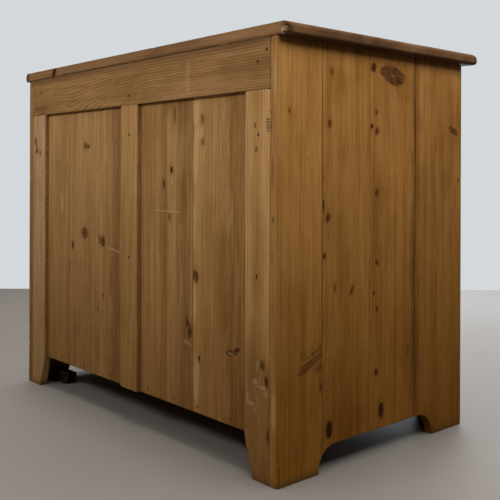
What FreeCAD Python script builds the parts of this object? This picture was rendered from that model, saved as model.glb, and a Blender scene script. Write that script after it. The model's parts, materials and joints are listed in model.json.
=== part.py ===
# A waxed pine cupboard with a moulded top, framed and panelled back, glued board sides with
# arched feet, and two framed doors that hide one shelf.
# Every length is in millimetres. +X runs to the right of someone who faces the doors, the doors
# face -Y, and the feet stand on Z = 0. The origin is under the middle of the whole cupboard.

import FreeCAD, Part
import Sketcher
import os
import re

# Driving dimensions, each with the alias that its cell has in the spreadsheet.
SIZES = {
    # Carcase
    "carcase_width": 1000,
    "carcase_depth": 580,
    "overall_height": 850,
    "side_thickness": 21,
    # Sides: boards counted from the back, and the arch between the two feet
    "side_rear_board": 117,
    "side_second_board": 142,
    "side_third_board": 148,
    "side_rear_foot": 109,
    "side_front_foot": 110,
    "arch_height": 51,
    "arch_radius": 48,
    # Top
    "top_thickness": 24,
    "top_side_overhang": 23,
    "top_front_overhang": 28,
    "top_rear_board": 205,
    "top_middle_board": 212,
    "top_end_upper_round": 10,
    "top_end_lower_round": 7,
    "top_nose_upper_round": 15,
    "top_nose_lower_round": 3,
    # Back
    "back_frame_thickness": 20,
    "back_rail_height": 96,
    "back_left_stile_width": 70,
    "back_right_stile_width": 71,
    "back_foot_width": 46,
    "back_left_opening": 370,
    "back_muntin_width": 70,
    "back_bottom_height": 80,
    "back_panel_thickness": 10,
    "back_rebate_width": 8,
    "back_panel_play": 1,
    "back_left_panel_outer_board": 176,
    "back_right_panel_outer_board": 115,
    # Bottom and shelf
    "bottom_top_height": 102,
    "board_thickness": 18,
    "bottom_rear_board": 262,
    "bottom_bearer_width": 20,
    "bottom_bearer_height": 25,
    "shelf_top_height": 440,
    "shelf_setback": 30,
    "shelf_rear_board": 240,
    "shelf_play": 0.4,
    "shelf_bearer_width": 18,
    "shelf_bearer_height": 28,
    "shelf_bearer_setback": 24,
    # Front frame
    "front_frame_thickness": 21,
    "front_stile_width": 45,
    "front_rail_height": 42,
    "apron_foot": 45,
    # Door stop behind the top rail
    "stop_depth": 16,
    "stop_drop": 10,
    "stop_rise": 14,
    # Doors
    "door_thickness": 20.5,
    "door_hinge_gap": 1.5,
    "door_meeting_gap": 2.5,
    "door_gap": 2,
    "door_stile_width": 62,
    "door_top_rail_height": 62,
    "door_bottom_rail_height": 82,
    "door_groove_depth": 10,
    "door_groove_width": 8,
    "door_groove_from_face": 6.5,
    "door_panel_play": 1,
    "door_panel_bevel": 36,
    "door_panel_raise": 4.5,
    # Knobs
    "knob_reach": 34,
    "knob_above_lock": 66,
    "knob_head_radius": 18,
    "knob_head_half_depth": 9,
    "knob_neck_radius": 7.5,
    "knob_collar_radius": 11.5,
    "knob_collar_depth": 3,
    "knob_tenon_radius": 5,
    "knob_tenon_length": 16,
    # Butt hinges
    "hinge_height": 64,
    "hinge_end_margin": 88,
    "hinge_leaf_width": 17,
    "hinge_leaf_thickness": 1.5,
    "hinge_knuckle_radius": 4,
    "hinge_knuckle_stand": 0.5,
    "hinge_knuckle_gap": 0.3,
    "hinge_pin_radius": 1.75,
    "hinge_pin_clearance": 0.05,
    "hinge_pin_tip_radius": 2.9,
    "hinge_pin_tip_height": 1.6,
    "hinge_screw_head_radius": 3.2,
    "hinge_screw_shank_radius": 1.5,
    "hinge_screw_length": 16,
    # Lock on the right door
    "lock_height": 500,
    "lock_width": 56,
    "lock_case_height": 40,
    "lock_case_depth": 11,
    "lock_wall": 1.6,
    "lock_play": 0.2,
    "lock_bolt_length": 50,
    "lock_bolt_height": 12,
    "lock_bolt_depth": 6,
    "lock_bolt_above_middle": 6,
    "lock_bolt_travel": 12,
    "lock_notch_half_width": 9,
    "lock_notch_depth": 3,
    "lock_drill_pin_radius": 1.2,
    "lock_drill_pin_length": 13,
    "strike_width": 14,
    "strike_height": 34,
    "strike_thickness": 1.2,
    # Key
    "key_below_middle": 4,
    "key_shank_radius": 2.6,
    "key_bit_reach": 11,
    "key_bit_thickness": 2.4,
    "key_bit_clearance": 2,
    "key_bow_out": 20,
    "key_bow_radius": 9,
    "key_bow_wire_radius": 2,
    "keyhole_radius": 3.4,
    "keyhole_slot_width": 3.6,
    # Keyhole plate
    "escutcheon_half_width": 11,
    "escutcheon_straight": 16,
    "escutcheon_thickness": 1.2,
    # Upright bolt inside the left door
    "bolt_plate_width": 22,
    "bolt_plate_length": 80,
    "bolt_plate_thickness": 1.5,
    "bolt_loop_width": 16,
    "bolt_loop_height": 8,
    "bolt_loop_rim": 2.4,
    "bolt_rod_radius": 3,
    "bolt_rod_clearance": 0.1,
    "bolt_rod_lift": 1,
    "bolt_rod_length": 100,
    "bolt_rod_above_plate": 5,
    "bolt_rod_below_keeper": 1.5,
    "bolt_thumb_radius": 3,
    "bolt_thumb_reach": 12,
    "bolt_keeper_width": 26,
    "bolt_keeper_thickness": 1.2,
    "bolt_keeper_hole_play": 0.5,
    # Blocks and nails
    "glue_block_width": 22,
    "glue_block_length": 60,
    "corner_block_width": 30,
    "corner_block_low": 12,
    "toe_block_length": 92,
    "toe_block_depth": 27,
    "toe_block_height": 30,
    "toe_block_from_back": 58,
    "toe_block_curl": 22,
    "nail_head_radius": 2.6,
    "nail_head_proud": 0.3,
    "nail_head_thickness": 1.2,
    "nail_shank_radius": 1.3,
    "nail_length": 30,
    # How far a cutting shape runs past what it cuts
    "overrun": 5,
}

# Places of the nails along the foot of each back panel, as shares of its opening's width.
LEFT_PANEL_NAIL_SHARES = (0.138, 0.427, 0.649, 0.914)
RIGHT_PANEL_NAIL_SHARES = (0.17, 0.483, 0.793)
# Places of the glue blocks along the inside of the sides and rails, from one end to the other.
GLUE_BLOCK_SHARES = (0.28, 0.72)
# Hinge knuckles, counted from the bottom: the frame leaf has the odd ones, the door leaf the even.
KNUCKLE_COUNT = 5
SCREW_SHARES = (0.15, 0.5, 0.85)

# Places that many pieces share, written with the aliases above.
BACK = "((carcase_depth + max(top_front_overhang; knob_reach)) / 2)"
FRONT = f"({BACK} - carcase_depth)"
OUTSIDE = "(carcase_width / 2)"
INSIDE = "(carcase_width / 2 - side_thickness)"
UNDER_TOP = "(overall_height - top_thickness)"
BACK_INNER = f"({BACK} - back_frame_thickness)"
BACK_PANEL_FACE = f"({BACK_INNER} + back_panel_thickness)"
BACK_RAIL_LOW = f"({UNDER_TOP} - back_rail_height)"
FRAME_INNER = f"({FRONT} + front_frame_thickness)"
BOTTOM_LOW = "(bottom_top_height - board_thickness)"
OPENING = f"({INSIDE} - front_stile_width)"
OPENING_HIGH = f"({UNDER_TOP} - front_rail_height)"
STOP_LOW = f"({OPENING_HIGH} - stop_drop)"
DOOR_LOW = "(bottom_top_height + door_gap)"
DOOR_HIGH = f"({OPENING_HIGH} - door_gap)"
DOOR_INNER = f"({FRONT} + door_thickness)"
HINGE_EDGE = f"({OPENING} - door_hinge_gap)"
MEETING_EDGE = "(door_meeting_gap / 2)"
STILE_MIDDLE = "(door_meeting_gap / 2 + door_stile_width / 2)"
KNOB_Z = "(lock_height + knob_above_lock)"

WORD = re.compile(r"[a-z][a-z_]+")
AXIS_TURNS = {
    "x": FreeCAD.Rotation(FreeCAD.Vector(0, 1, 0), 90),
    "y": FreeCAD.Rotation(FreeCAD.Vector(1, 0, 0), -90),
    "z": FreeCAD.Rotation(),
}
# Edges of a box by the direction that they run in and the faces that they join.
TOP_EDGES_ALONG_X = ("Edge10", "Edge12")
TOP_EDGES_ALONG_Y = ("Edge2", "Edge6")
BOTTOM_EDGES_ALONG_Y = ("Edge4", "Edge8")
FRONT_TOP_EDGE = "Edge10"
FRONT_BOTTOM_EDGE = "Edge9"

DOC = FreeCAD.newDocument("cupboard")
NODES = []


def fill_sheet():
    """Write every driving dimension and its alias into the spreadsheet."""
    sheet = DOC.addObject("Spreadsheet::Sheet", "sizes")
    for row, (alias, number) in enumerate(SIZES.items(), 1):
        sheet.set(f"A{row}", alias)
        sheet.set(f"B{row}", str(number))
        sheet.setAlias(f"B{row}", alias)
    DOC.recompute()


def bind(target, **places):
    """Bind properties to expressions that are written with bare aliases."""
    for name, expression in places.items():
        linked = WORD.sub(lambda word: word[0] if word[0] == "max" else f"sizes.{word[0]}", expression)
        target.setExpression(name.replace("__", "."), linked)


def move_to(target, x, y, z):
    bind(target, Placement__Base__x=x, Placement__Base__y=y, Placement__Base__z=z)


def node(label, shape):
    """Make a shape a finished sub-part under its own name."""
    shape.Label = label
    NODES.append(shape)
    return shape


def block(xs, ys, zs):
    """A box between two places along each axis."""
    box = DOC.addObject("Part::Box", "block")
    bind(box, Length=f"({xs[1]}) - ({xs[0]})", Width=f"({ys[1]}) - ({ys[0]})",
         Height=f"({zs[1]}) - ({zs[0]})")
    move_to(box, xs[0], ys[0], zs[0])
    return box


def rod(axis, radius, length, start):
    """A cylinder that starts at a point and runs along one axis."""
    cylinder = DOC.addObject("Part::Cylinder", "rod")
    cylinder.Placement = FreeCAD.Placement(FreeCAD.Vector(), AXIS_TURNS[axis])
    bind(cylinder, Radius=radius, Height=length)
    move_to(cylinder, *start)
    return cylinder


def taper(axis, radius, far_radius, length, start):
    """A cone that starts at a point and runs along one axis."""
    cone = DOC.addObject("Part::Cone", "taper")
    cone.Placement = FreeCAD.Placement(FreeCAD.Vector(), AXIS_TURNS[axis])
    bind(cone, Radius1=radius, Radius2=far_radius, Height=length)
    move_to(cone, *start)
    return cone


def cut(shape, *tools):
    for tool in tools:
        result = DOC.addObject("Part::Cut", "cut")
        result.Base = shape
        result.Tool = tool
        shape = result
    return shape


def fuse(*shapes):
    result = DOC.addObject("Part::MultiFuse", "fusion")
    result.Shapes = list(shapes)
    result.Refine = True
    return result


def common(*shapes):
    result = DOC.addObject("Part::MultiCommon", "overlap")
    result.Shapes = list(shapes)
    return result


def group(*shapes):
    """Separate solids that share one node."""
    result = DOC.addObject("Part::Compound", "group")
    result.Links = list(shapes)
    return result


def rounded(shape, radii):
    """Round a box's edges, given as a table from edge name to radius."""
    result = DOC.addObject("Part::Fillet", "rounded")
    result.Base = shape
    result.Edges = [(int(edge.removeprefix("Edge")), radius, radius) for edge, radius in radii.items()]
    return result


def spread(low, high, share):
    """The place that lies a share of the way from low to high."""
    return f"({low} + ({high} - {low}) * {share})"


def about(middle, half):
    return f"{middle} - {half}", f"{middle} + {half}"


def past(low, high):
    """The same stretch with the overrun of a cutting shape at each end."""
    return f"{low} - overrun", f"{high} + overrun"


def across(side, near, far):
    """A stretch along X, given by its distances from the middle, on the left or the right."""
    return (f"-({far})", f"-({near})") if side == "left" else (near, far)


def at(side, distance):
    return f"-({distance})" if side == "left" else distance


def arch(xs, ys, edges):
    """The space between two feet: open below, with its two top corners rounded."""
    radius = min(SIZES["arch_radius"], SIZES["arch_height"])
    return rounded(block(xs, ys, ("-overrun", "arch_height")), dict.fromkeys(edges, radius))


def padded_outline(corners, depth, place):
    """A body padded towards the front from an outline drawn in X and Z."""
    body = DOC.addObject("PartDesign::Body", "body")
    sketch = body.newObject("Sketcher::SketchObject", "outline")
    plane = next(feature for feature in body.Origin.OriginFeatures if feature.Role == "XZ_Plane")
    sketch.AttachmentSupport = (plane, [""])
    sketch.MapMode = "FlatFace"
    start = FreeCAD.Vector(SIZES["overrun"], 0, 0)
    turn = FreeCAD.Rotation(FreeCAD.Vector(0, 0, 1), 360 / len(corners))
    points = [start]
    while len(points) < len(corners):
        points.append(turn.multVec(points[-1]))
    for index, point in enumerate(points):
        sketch.addGeometry(Part.LineSegment(point, points[(index + 1) % len(points)]), False)
    for index in range(len(points)):
        sketch.addConstraint(Sketcher.Constraint("Coincident", index, 2, (index + 1) % len(points), 1))
    for index, corner in enumerate(corners):
        for kind, axis_line, place_now, expression in zip(
                ("DistanceX", "DistanceY"), (-2, -1), points[index], corner):
            if expression == "0":
                sketch.addConstraint(Sketcher.Constraint("PointOnObject", index, 1, axis_line))
                continue
            number = sketch.addConstraint(Sketcher.Constraint(kind, -1, 1, index, 1, place_now))
            bind(sketch, **{f"Constraints[{number}]": expression})
    pad = body.newObject("PartDesign::Pad", "pad")
    pad.Profile = sketch
    bind(pad, Length=depth)
    move_to(body, *place)
    return body


def make_top():
    """Three boards glued edge to edge, with moulded ends and a moulded front edge."""
    xs = about("0", f"({OUTSIDE} + top_side_overhang)")
    front = f"({FRONT} - top_front_overhang)"
    ends = {edge: SIZES["top_end_upper_round"] for edge in TOP_EDGES_ALONG_Y}
    ends.update({edge: SIZES["top_end_lower_round"] for edge in BOTTOM_EDGES_ALONG_Y})
    nose = {FRONT_TOP_EDGE: SIZES["top_nose_upper_round"], FRONT_BOTTOM_EDGE: SIZES["top_nose_lower_round"]}
    stock = (xs, (front, BACK), (UNDER_TOP, "overall_height"))
    slab = common(rounded(block(*stock), ends), rounded(block(*stock), nose))
    middle = f"({BACK} - top_rear_board)"
    joint = f"({middle} - top_middle_board)"
    wide = past(*xs)
    tall = past(UNDER_TOP, "overall_height")
    node("top_rear_board", common(slab, block(wide, (middle, past(front, BACK)[1]), tall)))
    node("top_middle_board", common(slab, block(wide, (joint, middle), tall)))
    node("top_front_board", common(slab, block(wide, (past(front, BACK)[0], joint), tall)))


def make_side(side):
    """Four upright boards glued edge to edge, with an arch between the front and rear feet."""
    xs = across(side, INSIDE, OUTSIDE)
    feet = (f"({FRONT} + side_front_foot)", f"({BACK} - side_rear_foot)")
    opening = arch(past(*xs), feet, TOP_EDGES_ALONG_X)
    second = f"({BACK} - side_rear_board)"
    third = f"({second} - side_second_board)"
    fourth = f"({third} - side_third_board)"
    stretches = {
        "rear": (second, BACK), "second": (third, second), "third": (fourth, third), "front": (FRONT, fourth),
    }
    for name, ys in stretches.items():
        node(f"{side}_side_{name}_board", cut(block(xs, ys, ("0", UNDER_TOP)), opening))


def make_back():
    """A rail across the top, two stiles that run down to feet, a muntin, and boarded panels."""
    left_inner = f"(back_left_stile_width - {INSIDE})"
    right_inner = f"({INSIDE} - back_right_stile_width)"
    muntin_left = f"({left_inner} + back_left_opening)"
    muntin_right = f"({muntin_left} + back_muntin_width)"
    frame_ys = (BACK_INNER, BACK)
    rebate_ys = (f"{BACK_INNER} - overrun", BACK_PANEL_FACE)
    panel_ys = (BACK_INNER, BACK_PANEL_FACE)
    uprights = past("back_bottom_height", BACK_RAIL_LOW)
    panels = {"left": (left_inner, muntin_left), "right": (muntin_right, right_inner)}

    rail_rebates = [
        block((f"{low} - back_rebate_width", f"{high} + back_rebate_width"), rebate_ys,
              (f"{BACK_RAIL_LOW} - overrun", f"{BACK_RAIL_LOW} + back_rebate_width"))
        for low, high in panels.values()
    ]
    rail = block(about("0", INSIDE), frame_ys, (BACK_RAIL_LOW, UNDER_TOP))
    node("back_top_rail", cut(rail, *rail_rebates))

    left_corners = (
        ("0", "0"), ("back_foot_width", "0"), ("back_left_stile_width", "back_bottom_height"),
        ("back_left_stile_width", BACK_RAIL_LOW), ("0", BACK_RAIL_LOW),
    )
    right_corners = (
        ("0", "back_bottom_height"), ("back_right_stile_width - back_foot_width", "0"),
        ("back_right_stile_width", "0"), ("back_right_stile_width", BACK_RAIL_LOW), ("0", BACK_RAIL_LOW),
    )
    left_stile = padded_outline(left_corners, "back_frame_thickness", (f"-{INSIDE}", BACK, "0"))
    right_stile = padded_outline(right_corners, "back_frame_thickness", (right_inner, BACK, "0"))
    stile_rebate_zs = ("back_bottom_height", uprights[1])
    left_rebate = block((f"{left_inner} - back_rebate_width", f"{left_inner} + overrun"), rebate_ys,
                        stile_rebate_zs)
    right_rebate = block((f"{right_inner} - overrun", f"{right_inner} + back_rebate_width"), rebate_ys,
                         stile_rebate_zs)
    node("back_left_stile", cut(left_stile, left_rebate))
    node("back_right_stile", cut(right_stile, right_rebate))

    muntin = block((muntin_left, muntin_right), frame_ys, ("back_bottom_height", BACK_RAIL_LOW))
    muntin_rebates = [
        block((f"{muntin_left} - overrun", f"{muntin_left} + back_rebate_width"), rebate_ys, uprights),
        block((f"{muntin_right} - back_rebate_width", f"{muntin_right} + overrun"), rebate_ys, uprights),
    ]
    node("back_muntin", cut(muntin, *muntin_rebates))

    reach = "(back_rebate_width - back_panel_play)"
    panel_zs = ("back_bottom_height", f"{BACK_RAIL_LOW} + {reach}")
    left_joint = f"({left_inner} + back_left_panel_outer_board)"
    right_joint = f"({right_inner} - back_right_panel_outer_board)"
    node("back_left_panel_outer_board", block((f"{left_inner} - {reach}", left_joint), panel_ys, panel_zs))
    node("back_left_panel_inner_board", block((left_joint, f"{muntin_left} + {reach}"), panel_ys, panel_zs))
    node("back_right_panel_inner_board",
         block((f"{muntin_right} - {reach}", right_joint), panel_ys, panel_zs))
    node("back_right_panel_outer_board", block((right_joint, f"{right_inner} + {reach}"), panel_ys, panel_zs))
    nails = back_nails(panels["left"], LEFT_PANEL_NAIL_SHARES)
    nails += back_nails(panels["right"], RIGHT_PANEL_NAIL_SHARES)
    node("back_nails", group(*nails))


def nail(x, face, z):
    """A cut nail driven towards the front, its head just proud of the face."""
    head = rod("y", "nail_head_radius", "nail_head_thickness",
               (x, f"{face} + nail_head_proud - nail_head_thickness", z))
    shank = rod("y", "nail_shank_radius", "nail_length", (x, f"{face} - nail_length", z))
    return fuse(head, shank)


def back_nails(opening, shares):
    """Nails that hold the panel in one opening to the bottom boards."""
    level = "(bottom_top_height - board_thickness / 2)"
    return [nail(spread(*opening, share), BACK_PANEL_FACE, level) for share in shares]


def make_bottom_and_shelf():
    """Two glued boards make the bottom and two make the shelf, each on a pair of bearers."""
    bottom_zs = (BOTTOM_LOW, "bottom_top_height")
    joint = f"({BACK_INNER} - bottom_rear_board)"
    wide = about("0", INSIDE)
    node("bottom_rear_board", block(wide, (joint, BACK_INNER), bottom_zs))
    node("bottom_front_board", block(wide, (FRAME_INNER, joint), bottom_zs))
    bearer_zs = (f"{BOTTOM_LOW} - bottom_bearer_height", BOTTOM_LOW)
    node("bottom_bearers", group(*[
        block(across(side, f"{INSIDE} - bottom_bearer_width", INSIDE), (FRAME_INNER, BACK_INNER), bearer_zs)
        for side in ("left", "right")
    ]))

    shelf_low = "(shelf_top_height - board_thickness)"
    shelf_back = f"({BACK_INNER} - shelf_play)"
    shelf_front = f"({FRAME_INNER} + shelf_setback)"
    shelf_joint = f"({shelf_back} - shelf_rear_board)"
    shelf_zs = (shelf_low, "shelf_top_height")
    shelf_xs = about("0", f"({INSIDE} - shelf_play)")
    node("shelf_rear_board", block(shelf_xs, (shelf_joint, shelf_back), shelf_zs))
    node("shelf_front_board", block(shelf_xs, (shelf_front, shelf_joint), shelf_zs))
    shelf_bearer_ys = (f"{shelf_front} + shelf_bearer_setback", BACK_INNER)
    node("shelf_bearers", group(*[
        block(across(side, f"{INSIDE} - shelf_bearer_width", INSIDE), shelf_bearer_ys,
              (f"{shelf_low} - shelf_bearer_height", shelf_low))
        for side in ("left", "right")
    ]))


def make_front_frame():
    """Two stiles, a rail and an arched apron, set between the sides and flush with them."""
    frame_ys = (FRONT, FRAME_INNER)
    opening_xs = about("0", OPENING)
    node("front_top_rail", block(opening_xs, frame_ys, (OPENING_HIGH, UNDER_TOP)))
    feet = about("0", f"({OPENING} - apron_foot)")
    opening = arch(feet, past(*frame_ys), TOP_EDGES_ALONG_Y)
    node("front_apron", cut(block(opening_xs, frame_ys, ("0", "bottom_top_height")), opening))
    for side in ("left", "right"):
        stile = block(across(side, OPENING, INSIDE), frame_ys, ("0", UNDER_TOP))
        recesses = [
            block(across(side, f"{OPENING} - overrun", f"{OPENING} + hinge_leaf_thickness"),
                  (f"{FRONT} - overrun", f"{FRONT} + hinge_leaf_width"), zs)
            for zs in hinge_stretches()
        ]
        node(f"front_{side}_stile", cut(stile, *recesses))
    stop = block(opening_xs, (FRAME_INNER, f"{FRAME_INNER} + stop_depth"),
                 (STOP_LOW, f"{OPENING_HIGH} + stop_rise"))
    node("door_stop", cut(stop, keeper_hole()))


def make_blocks():
    """Glue blocks under the top and in the apron's corners, and toe blocks behind the back feet."""
    zs = (f"{UNDER_TOP} - glue_block_width", UNDER_TOP)
    blocks = []
    for share in GLUE_BLOCK_SHARES:
        middle = spread(FRAME_INNER, BACK_INNER, share)
        ys = about(middle, "glue_block_length / 2")
        blocks += [
            block(across(side, f"{INSIDE} - glue_block_width", INSIDE), ys, zs)
            for side in ("left", "right")
        ]
        xs = about(spread(f"-{INSIDE}", INSIDE, share), "glue_block_length / 2")
        blocks.append(block(xs, (f"{BACK_INNER} - glue_block_width", BACK_INNER), zs))
    corner_zs = ("corner_block_low", f"{BOTTOM_LOW} - bottom_bearer_height")
    corner_ys = (FRAME_INNER, f"{FRAME_INNER} + corner_block_width")
    blocks += [
        block(across(side, f"{INSIDE} - corner_block_width", INSIDE), corner_ys, corner_zs)
        for side in ("left", "right")
    ]
    node("glue_blocks", group(*blocks))

    toe_ys = (f"{BACK} - toe_block_from_back - toe_block_depth", f"{BACK} - toe_block_from_back")
    free_edges = {"left": BOTTOM_EDGES_ALONG_Y[1], "right": BOTTOM_EDGES_ALONG_Y[0]}
    node("rear_toe_blocks", group(*[
        rounded(
            block(across(side, f"{INSIDE} - toe_block_length", INSIDE), toe_ys, ("0", "toe_block_height")),
            {edge: SIZES["toe_block_curl"]},
        )
        for side, edge in free_edges.items()
    ]))


def hinge_stretches():
    """The heights between which the lower and the upper hinge of a door lie."""
    low = f"({DOOR_LOW} + hinge_end_margin)"
    high = f"({DOOR_HIGH} - hinge_end_margin)"
    return (low, f"{low} + hinge_height"), (f"{high} - hinge_height", high)


def panel_groove(side, low, high, zs):
    ys = (f"{FRONT} + door_groove_from_face", f"{FRONT} + door_groove_from_face + door_groove_width")
    return block(across(side, low, high), ys, zs)


def make_door(side):
    """Stiles grooved on their inner edges, rails with tongues in those grooves, and a raised panel."""
    ys = (FRONT, DOOR_INNER)
    inner_hinge = f"({HINGE_EDGE} - door_stile_width)"
    inner_meeting = f"({MEETING_EDGE} + door_stile_width)"
    top_low = f"({DOOR_HIGH} - door_top_rail_height)"
    bottom_high = f"({DOOR_LOW} + door_bottom_rail_height)"
    full = (DOOR_LOW, DOOR_HIGH)

    hinge_stile = block(across(side, inner_hinge, HINGE_EDGE), ys, full)
    recesses = [
        block(across(side, f"{HINGE_EDGE} - hinge_leaf_thickness", f"{HINGE_EDGE} + overrun"),
              (f"{FRONT} - overrun", f"{FRONT} + hinge_leaf_width"), zs)
        for zs in hinge_stretches()
    ]
    hinge_groove = panel_groove(side, f"{inner_hinge} - overrun", f"{inner_hinge} + door_groove_depth",
                                past(*full))
    node(f"{side}_door_hinge_stile", cut(hinge_stile, hinge_groove, *recesses))

    meeting_stile = block(across(side, MEETING_EDGE, inner_meeting), ys, full)
    meeting_groove = panel_groove(side, f"{inner_meeting} - door_groove_depth", f"{inner_meeting} + overrun",
                                  past(*full))
    knob_hole = rod("y", "knob_tenon_radius", "knob_tenon_length + overrun",
                    (at(side, STILE_MIDDLE), f"{FRONT} - overrun", KNOB_Z))
    holes = [meeting_groove, knob_hole]
    if side == "right":
        holes += keyhole(f"{FRONT} - overrun", "door_thickness + 2 * overrun")
    node(f"{side}_door_meeting_stile", cut(meeting_stile, *holes))

    tongue = (f"{inner_meeting} - door_groove_depth", f"{inner_hinge} + door_groove_depth")
    rails = {"top": (top_low, DOOR_HIGH), "bottom": (DOOR_LOW, bottom_high)}
    grooves = {
        "top": (f"{top_low} - overrun", f"{top_low} + door_groove_depth"),
        "bottom": (f"{bottom_high} - door_groove_depth", f"{bottom_high} + overrun"),
    }
    for name, zs in rails.items():
        rail = fuse(block(across(side, inner_meeting, inner_hinge), ys, zs), panel_groove(side, *tongue, zs))
        groove = panel_groove(side, f"{tongue[0]} - overrun", f"{tongue[1]} + overrun", grooves[name])
        node(f"{side}_door_{name}_rail", cut(rail, groove))

    reach = "(door_groove_depth - door_panel_play)"
    panel = panel_groove(side, f"{inner_meeting} - {reach}", f"{inner_hinge} + {reach}",
                         (f"{bottom_high} - door_groove_depth", f"{top_low} + {reach}"))
    field = panel_field(side, (inner_meeting, inner_hinge), (bottom_high, top_low))
    node(f"{side}_door_panel", fuse(panel, field))

    node(f"{side}_door_knob", make_knob(side))


def panel_field(side, span, heights):
    """The raised field of a door panel, which slopes down to the groove on all four sides."""
    xs = across(side, *span)
    field = DOC.addObject("Part::Wedge", "field")
    groove_face = f"({FRONT} + door_groove_from_face)"
    bind(field, Xmin=f"{xs[0]} + door_panel_bevel", Xmax=f"{xs[1]} - door_panel_bevel",
         Zmin=f"{heights[0]} + door_panel_bevel", Zmax=f"{heights[1]} - door_panel_bevel",
         X2min=xs[0], X2max=xs[1], Z2min=heights[0], Z2max=heights[1],
         Ymin=f"{groove_face} - door_panel_raise", Ymax=groove_face)
    return field


def make_knob(side):
    """A turned knob with a tenon glued into the meeting stile."""
    x = at(side, STILE_MIDDLE)
    tenon = rod("y", "knob_tenon_radius", "knob_tenon_length", (x, FRONT, KNOB_Z))
    collar = rod("y", "knob_collar_radius", "knob_collar_depth", (x, f"{FRONT} - knob_collar_depth", KNOB_Z))
    neck = rod("y", "knob_neck_radius", "knob_reach - knob_head_half_depth",
               (x, f"{FRONT} - knob_reach + knob_head_half_depth", KNOB_Z))
    head = DOC.addObject("Part::Ellipsoid", "head")
    head.Placement = FreeCAD.Placement(FreeCAD.Vector(), AXIS_TURNS["y"])
    bind(head, Radius1="knob_head_half_depth", Radius2="knob_head_radius", Radius3="knob_head_radius")
    move_to(head, x, f"{FRONT} - knob_reach + knob_head_half_depth", KNOB_Z)
    return fuse(tenon, collar, neck, head)


def make_hinges():
    """Two brass butt hinges to a door: a leaf on the frame, a leaf on the door, a pin and screws."""
    frame_leaves = []
    frame_screws = []
    pins = []
    for side in ("left", "right"):
        door_leaves = []
        door_screws = []
        for low, high in hinge_stretches():
            frame_plate = (OPENING, f"{OPENING} + hinge_leaf_thickness")
            door_plate = (f"{HINGE_EDGE} - hinge_leaf_thickness", HINGE_EDGE)
            screws = hinge_screws(side, low, high, frame_plate, door_plate)
            frame_screws += screws["frame"]
            door_screws += screws["door"]
            frame_leaves.append(hinge_leaf(side, frame_plate, low, high, 0, screws["frame"]))
            door_leaves.append(hinge_leaf(side, door_plate, low, high, 1, screws["door"]))
            pins.append(hinge_pin(side, low, high))
        node(f"{side}_door_hinge_leaves", group(*door_leaves))
        node(f"{side}_door_hinge_screws", group(*door_screws))
    node("frame_hinge_leaves", group(*frame_leaves))
    node("frame_hinge_screws", group(*frame_screws))
    node("hinge_pins", group(*pins))


HINGE_AXIS_X = f"({OPENING} - door_hinge_gap / 2)"
HINGE_AXIS_Y = f"({FRONT} - hinge_knuckle_radius - hinge_knuckle_stand)"


def hinge_leaf(side, plate_span, low, high, first_knuckle, screws):
    """A plate let into an edge, with every second knuckle and the web that carries it."""
    pieces = [block(across(side, *plate_span), (FRONT, f"{FRONT} + hinge_leaf_width"), (low, high))]
    axis_x = at(side, HINGE_AXIS_X)
    for index in range(first_knuckle, KNUCKLE_COUNT, 2):
        start = f"{low} + hinge_height * {index} / {KNUCKLE_COUNT}"
        end = f"{start} + hinge_height / {KNUCKLE_COUNT}"
        zs = (f"{start} + hinge_knuckle_gap / 2", f"{end} - hinge_knuckle_gap / 2")
        pieces.append(block(across(side, *plate_span), (HINGE_AXIS_Y, FRONT), zs))
        pieces.append(rod("z", "hinge_knuckle_radius", f"({zs[1]}) - ({zs[0]})",
                          (axis_x, HINGE_AXIS_Y, zs[0])))
    hole = rod("z", "hinge_pin_radius + hinge_pin_clearance", "hinge_height + 2 * overrun",
               (axis_x, HINGE_AXIS_Y, f"{low} - overrun"))
    return cut(fuse(*pieces), hole, *screws)


def hinge_screws(side, low, high, frame_plate, door_plate):
    """Countersunk screws, level with the faces of the two leaves, driven away from the gap."""
    screws = {"frame": [], "door": []}
    y = f"({FRONT} + hinge_leaf_width / 2)"
    for share in SCREW_SHARES:
        z = spread(low, high, share)
        screws["frame"].append(countersunk_screw(side, frame_plate[0], 1, y, z))
        screws["door"].append(countersunk_screw(side, door_plate[1], -1, y, z))
    return screws


def countersunk_screw(side, face, outwards, y, z):
    """A screw whose head starts at a face and points away from the middle (1) or towards it (-1)."""
    towards_right = (outwards > 0) == (side == "right")
    head_place = at(side, face)
    head_depth = "hinge_leaf_thickness"
    if towards_right:
        head = taper("x", "hinge_screw_head_radius", "hinge_screw_shank_radius", head_depth,
                     (head_place, y, z))
        shank = rod("x", "hinge_screw_shank_radius", "hinge_screw_length", (head_place, y, z))
    else:
        head = taper("x", "hinge_screw_shank_radius", "hinge_screw_head_radius", head_depth,
                     (f"{head_place} - {head_depth}", y, z))
        shank = rod("x", "hinge_screw_shank_radius", "hinge_screw_length",
                    (f"{head_place} - hinge_screw_length", y, z))
    return fuse(head, shank)


def hinge_pin(side, low, high):
    """A pin with a flat button at each end."""
    axis_x = at(side, HINGE_AXIS_X)
    shaft = rod("z", "hinge_pin_radius", f"({high}) - ({low})", (axis_x, HINGE_AXIS_Y, low))
    foot = rod("z", "hinge_pin_tip_radius", "hinge_pin_tip_height",
               (axis_x, HINGE_AXIS_Y, f"{low} - hinge_pin_tip_height"))
    head = rod("z", "hinge_pin_tip_radius", "hinge_pin_tip_height", (axis_x, HINGE_AXIS_Y, high))
    return fuse(shaft, foot, head)


KEY_Z = "(lock_height - key_below_middle)"
LOCK_NEAR = f"({STILE_MIDDLE} - lock_width / 2)"
LOCK_FAR = f"({STILE_MIDDLE} + lock_width / 2)"
LOCK_CASE_BACK = f"({DOOR_INNER} + lock_case_depth - lock_wall)"
LOCK_BOLT_LOW = "(lock_height + lock_bolt_above_middle)"
LOCK_BOLT_YS = (f"{LOCK_CASE_BACK} - lock_play - lock_bolt_depth", f"{LOCK_CASE_BACK} - lock_play")


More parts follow.
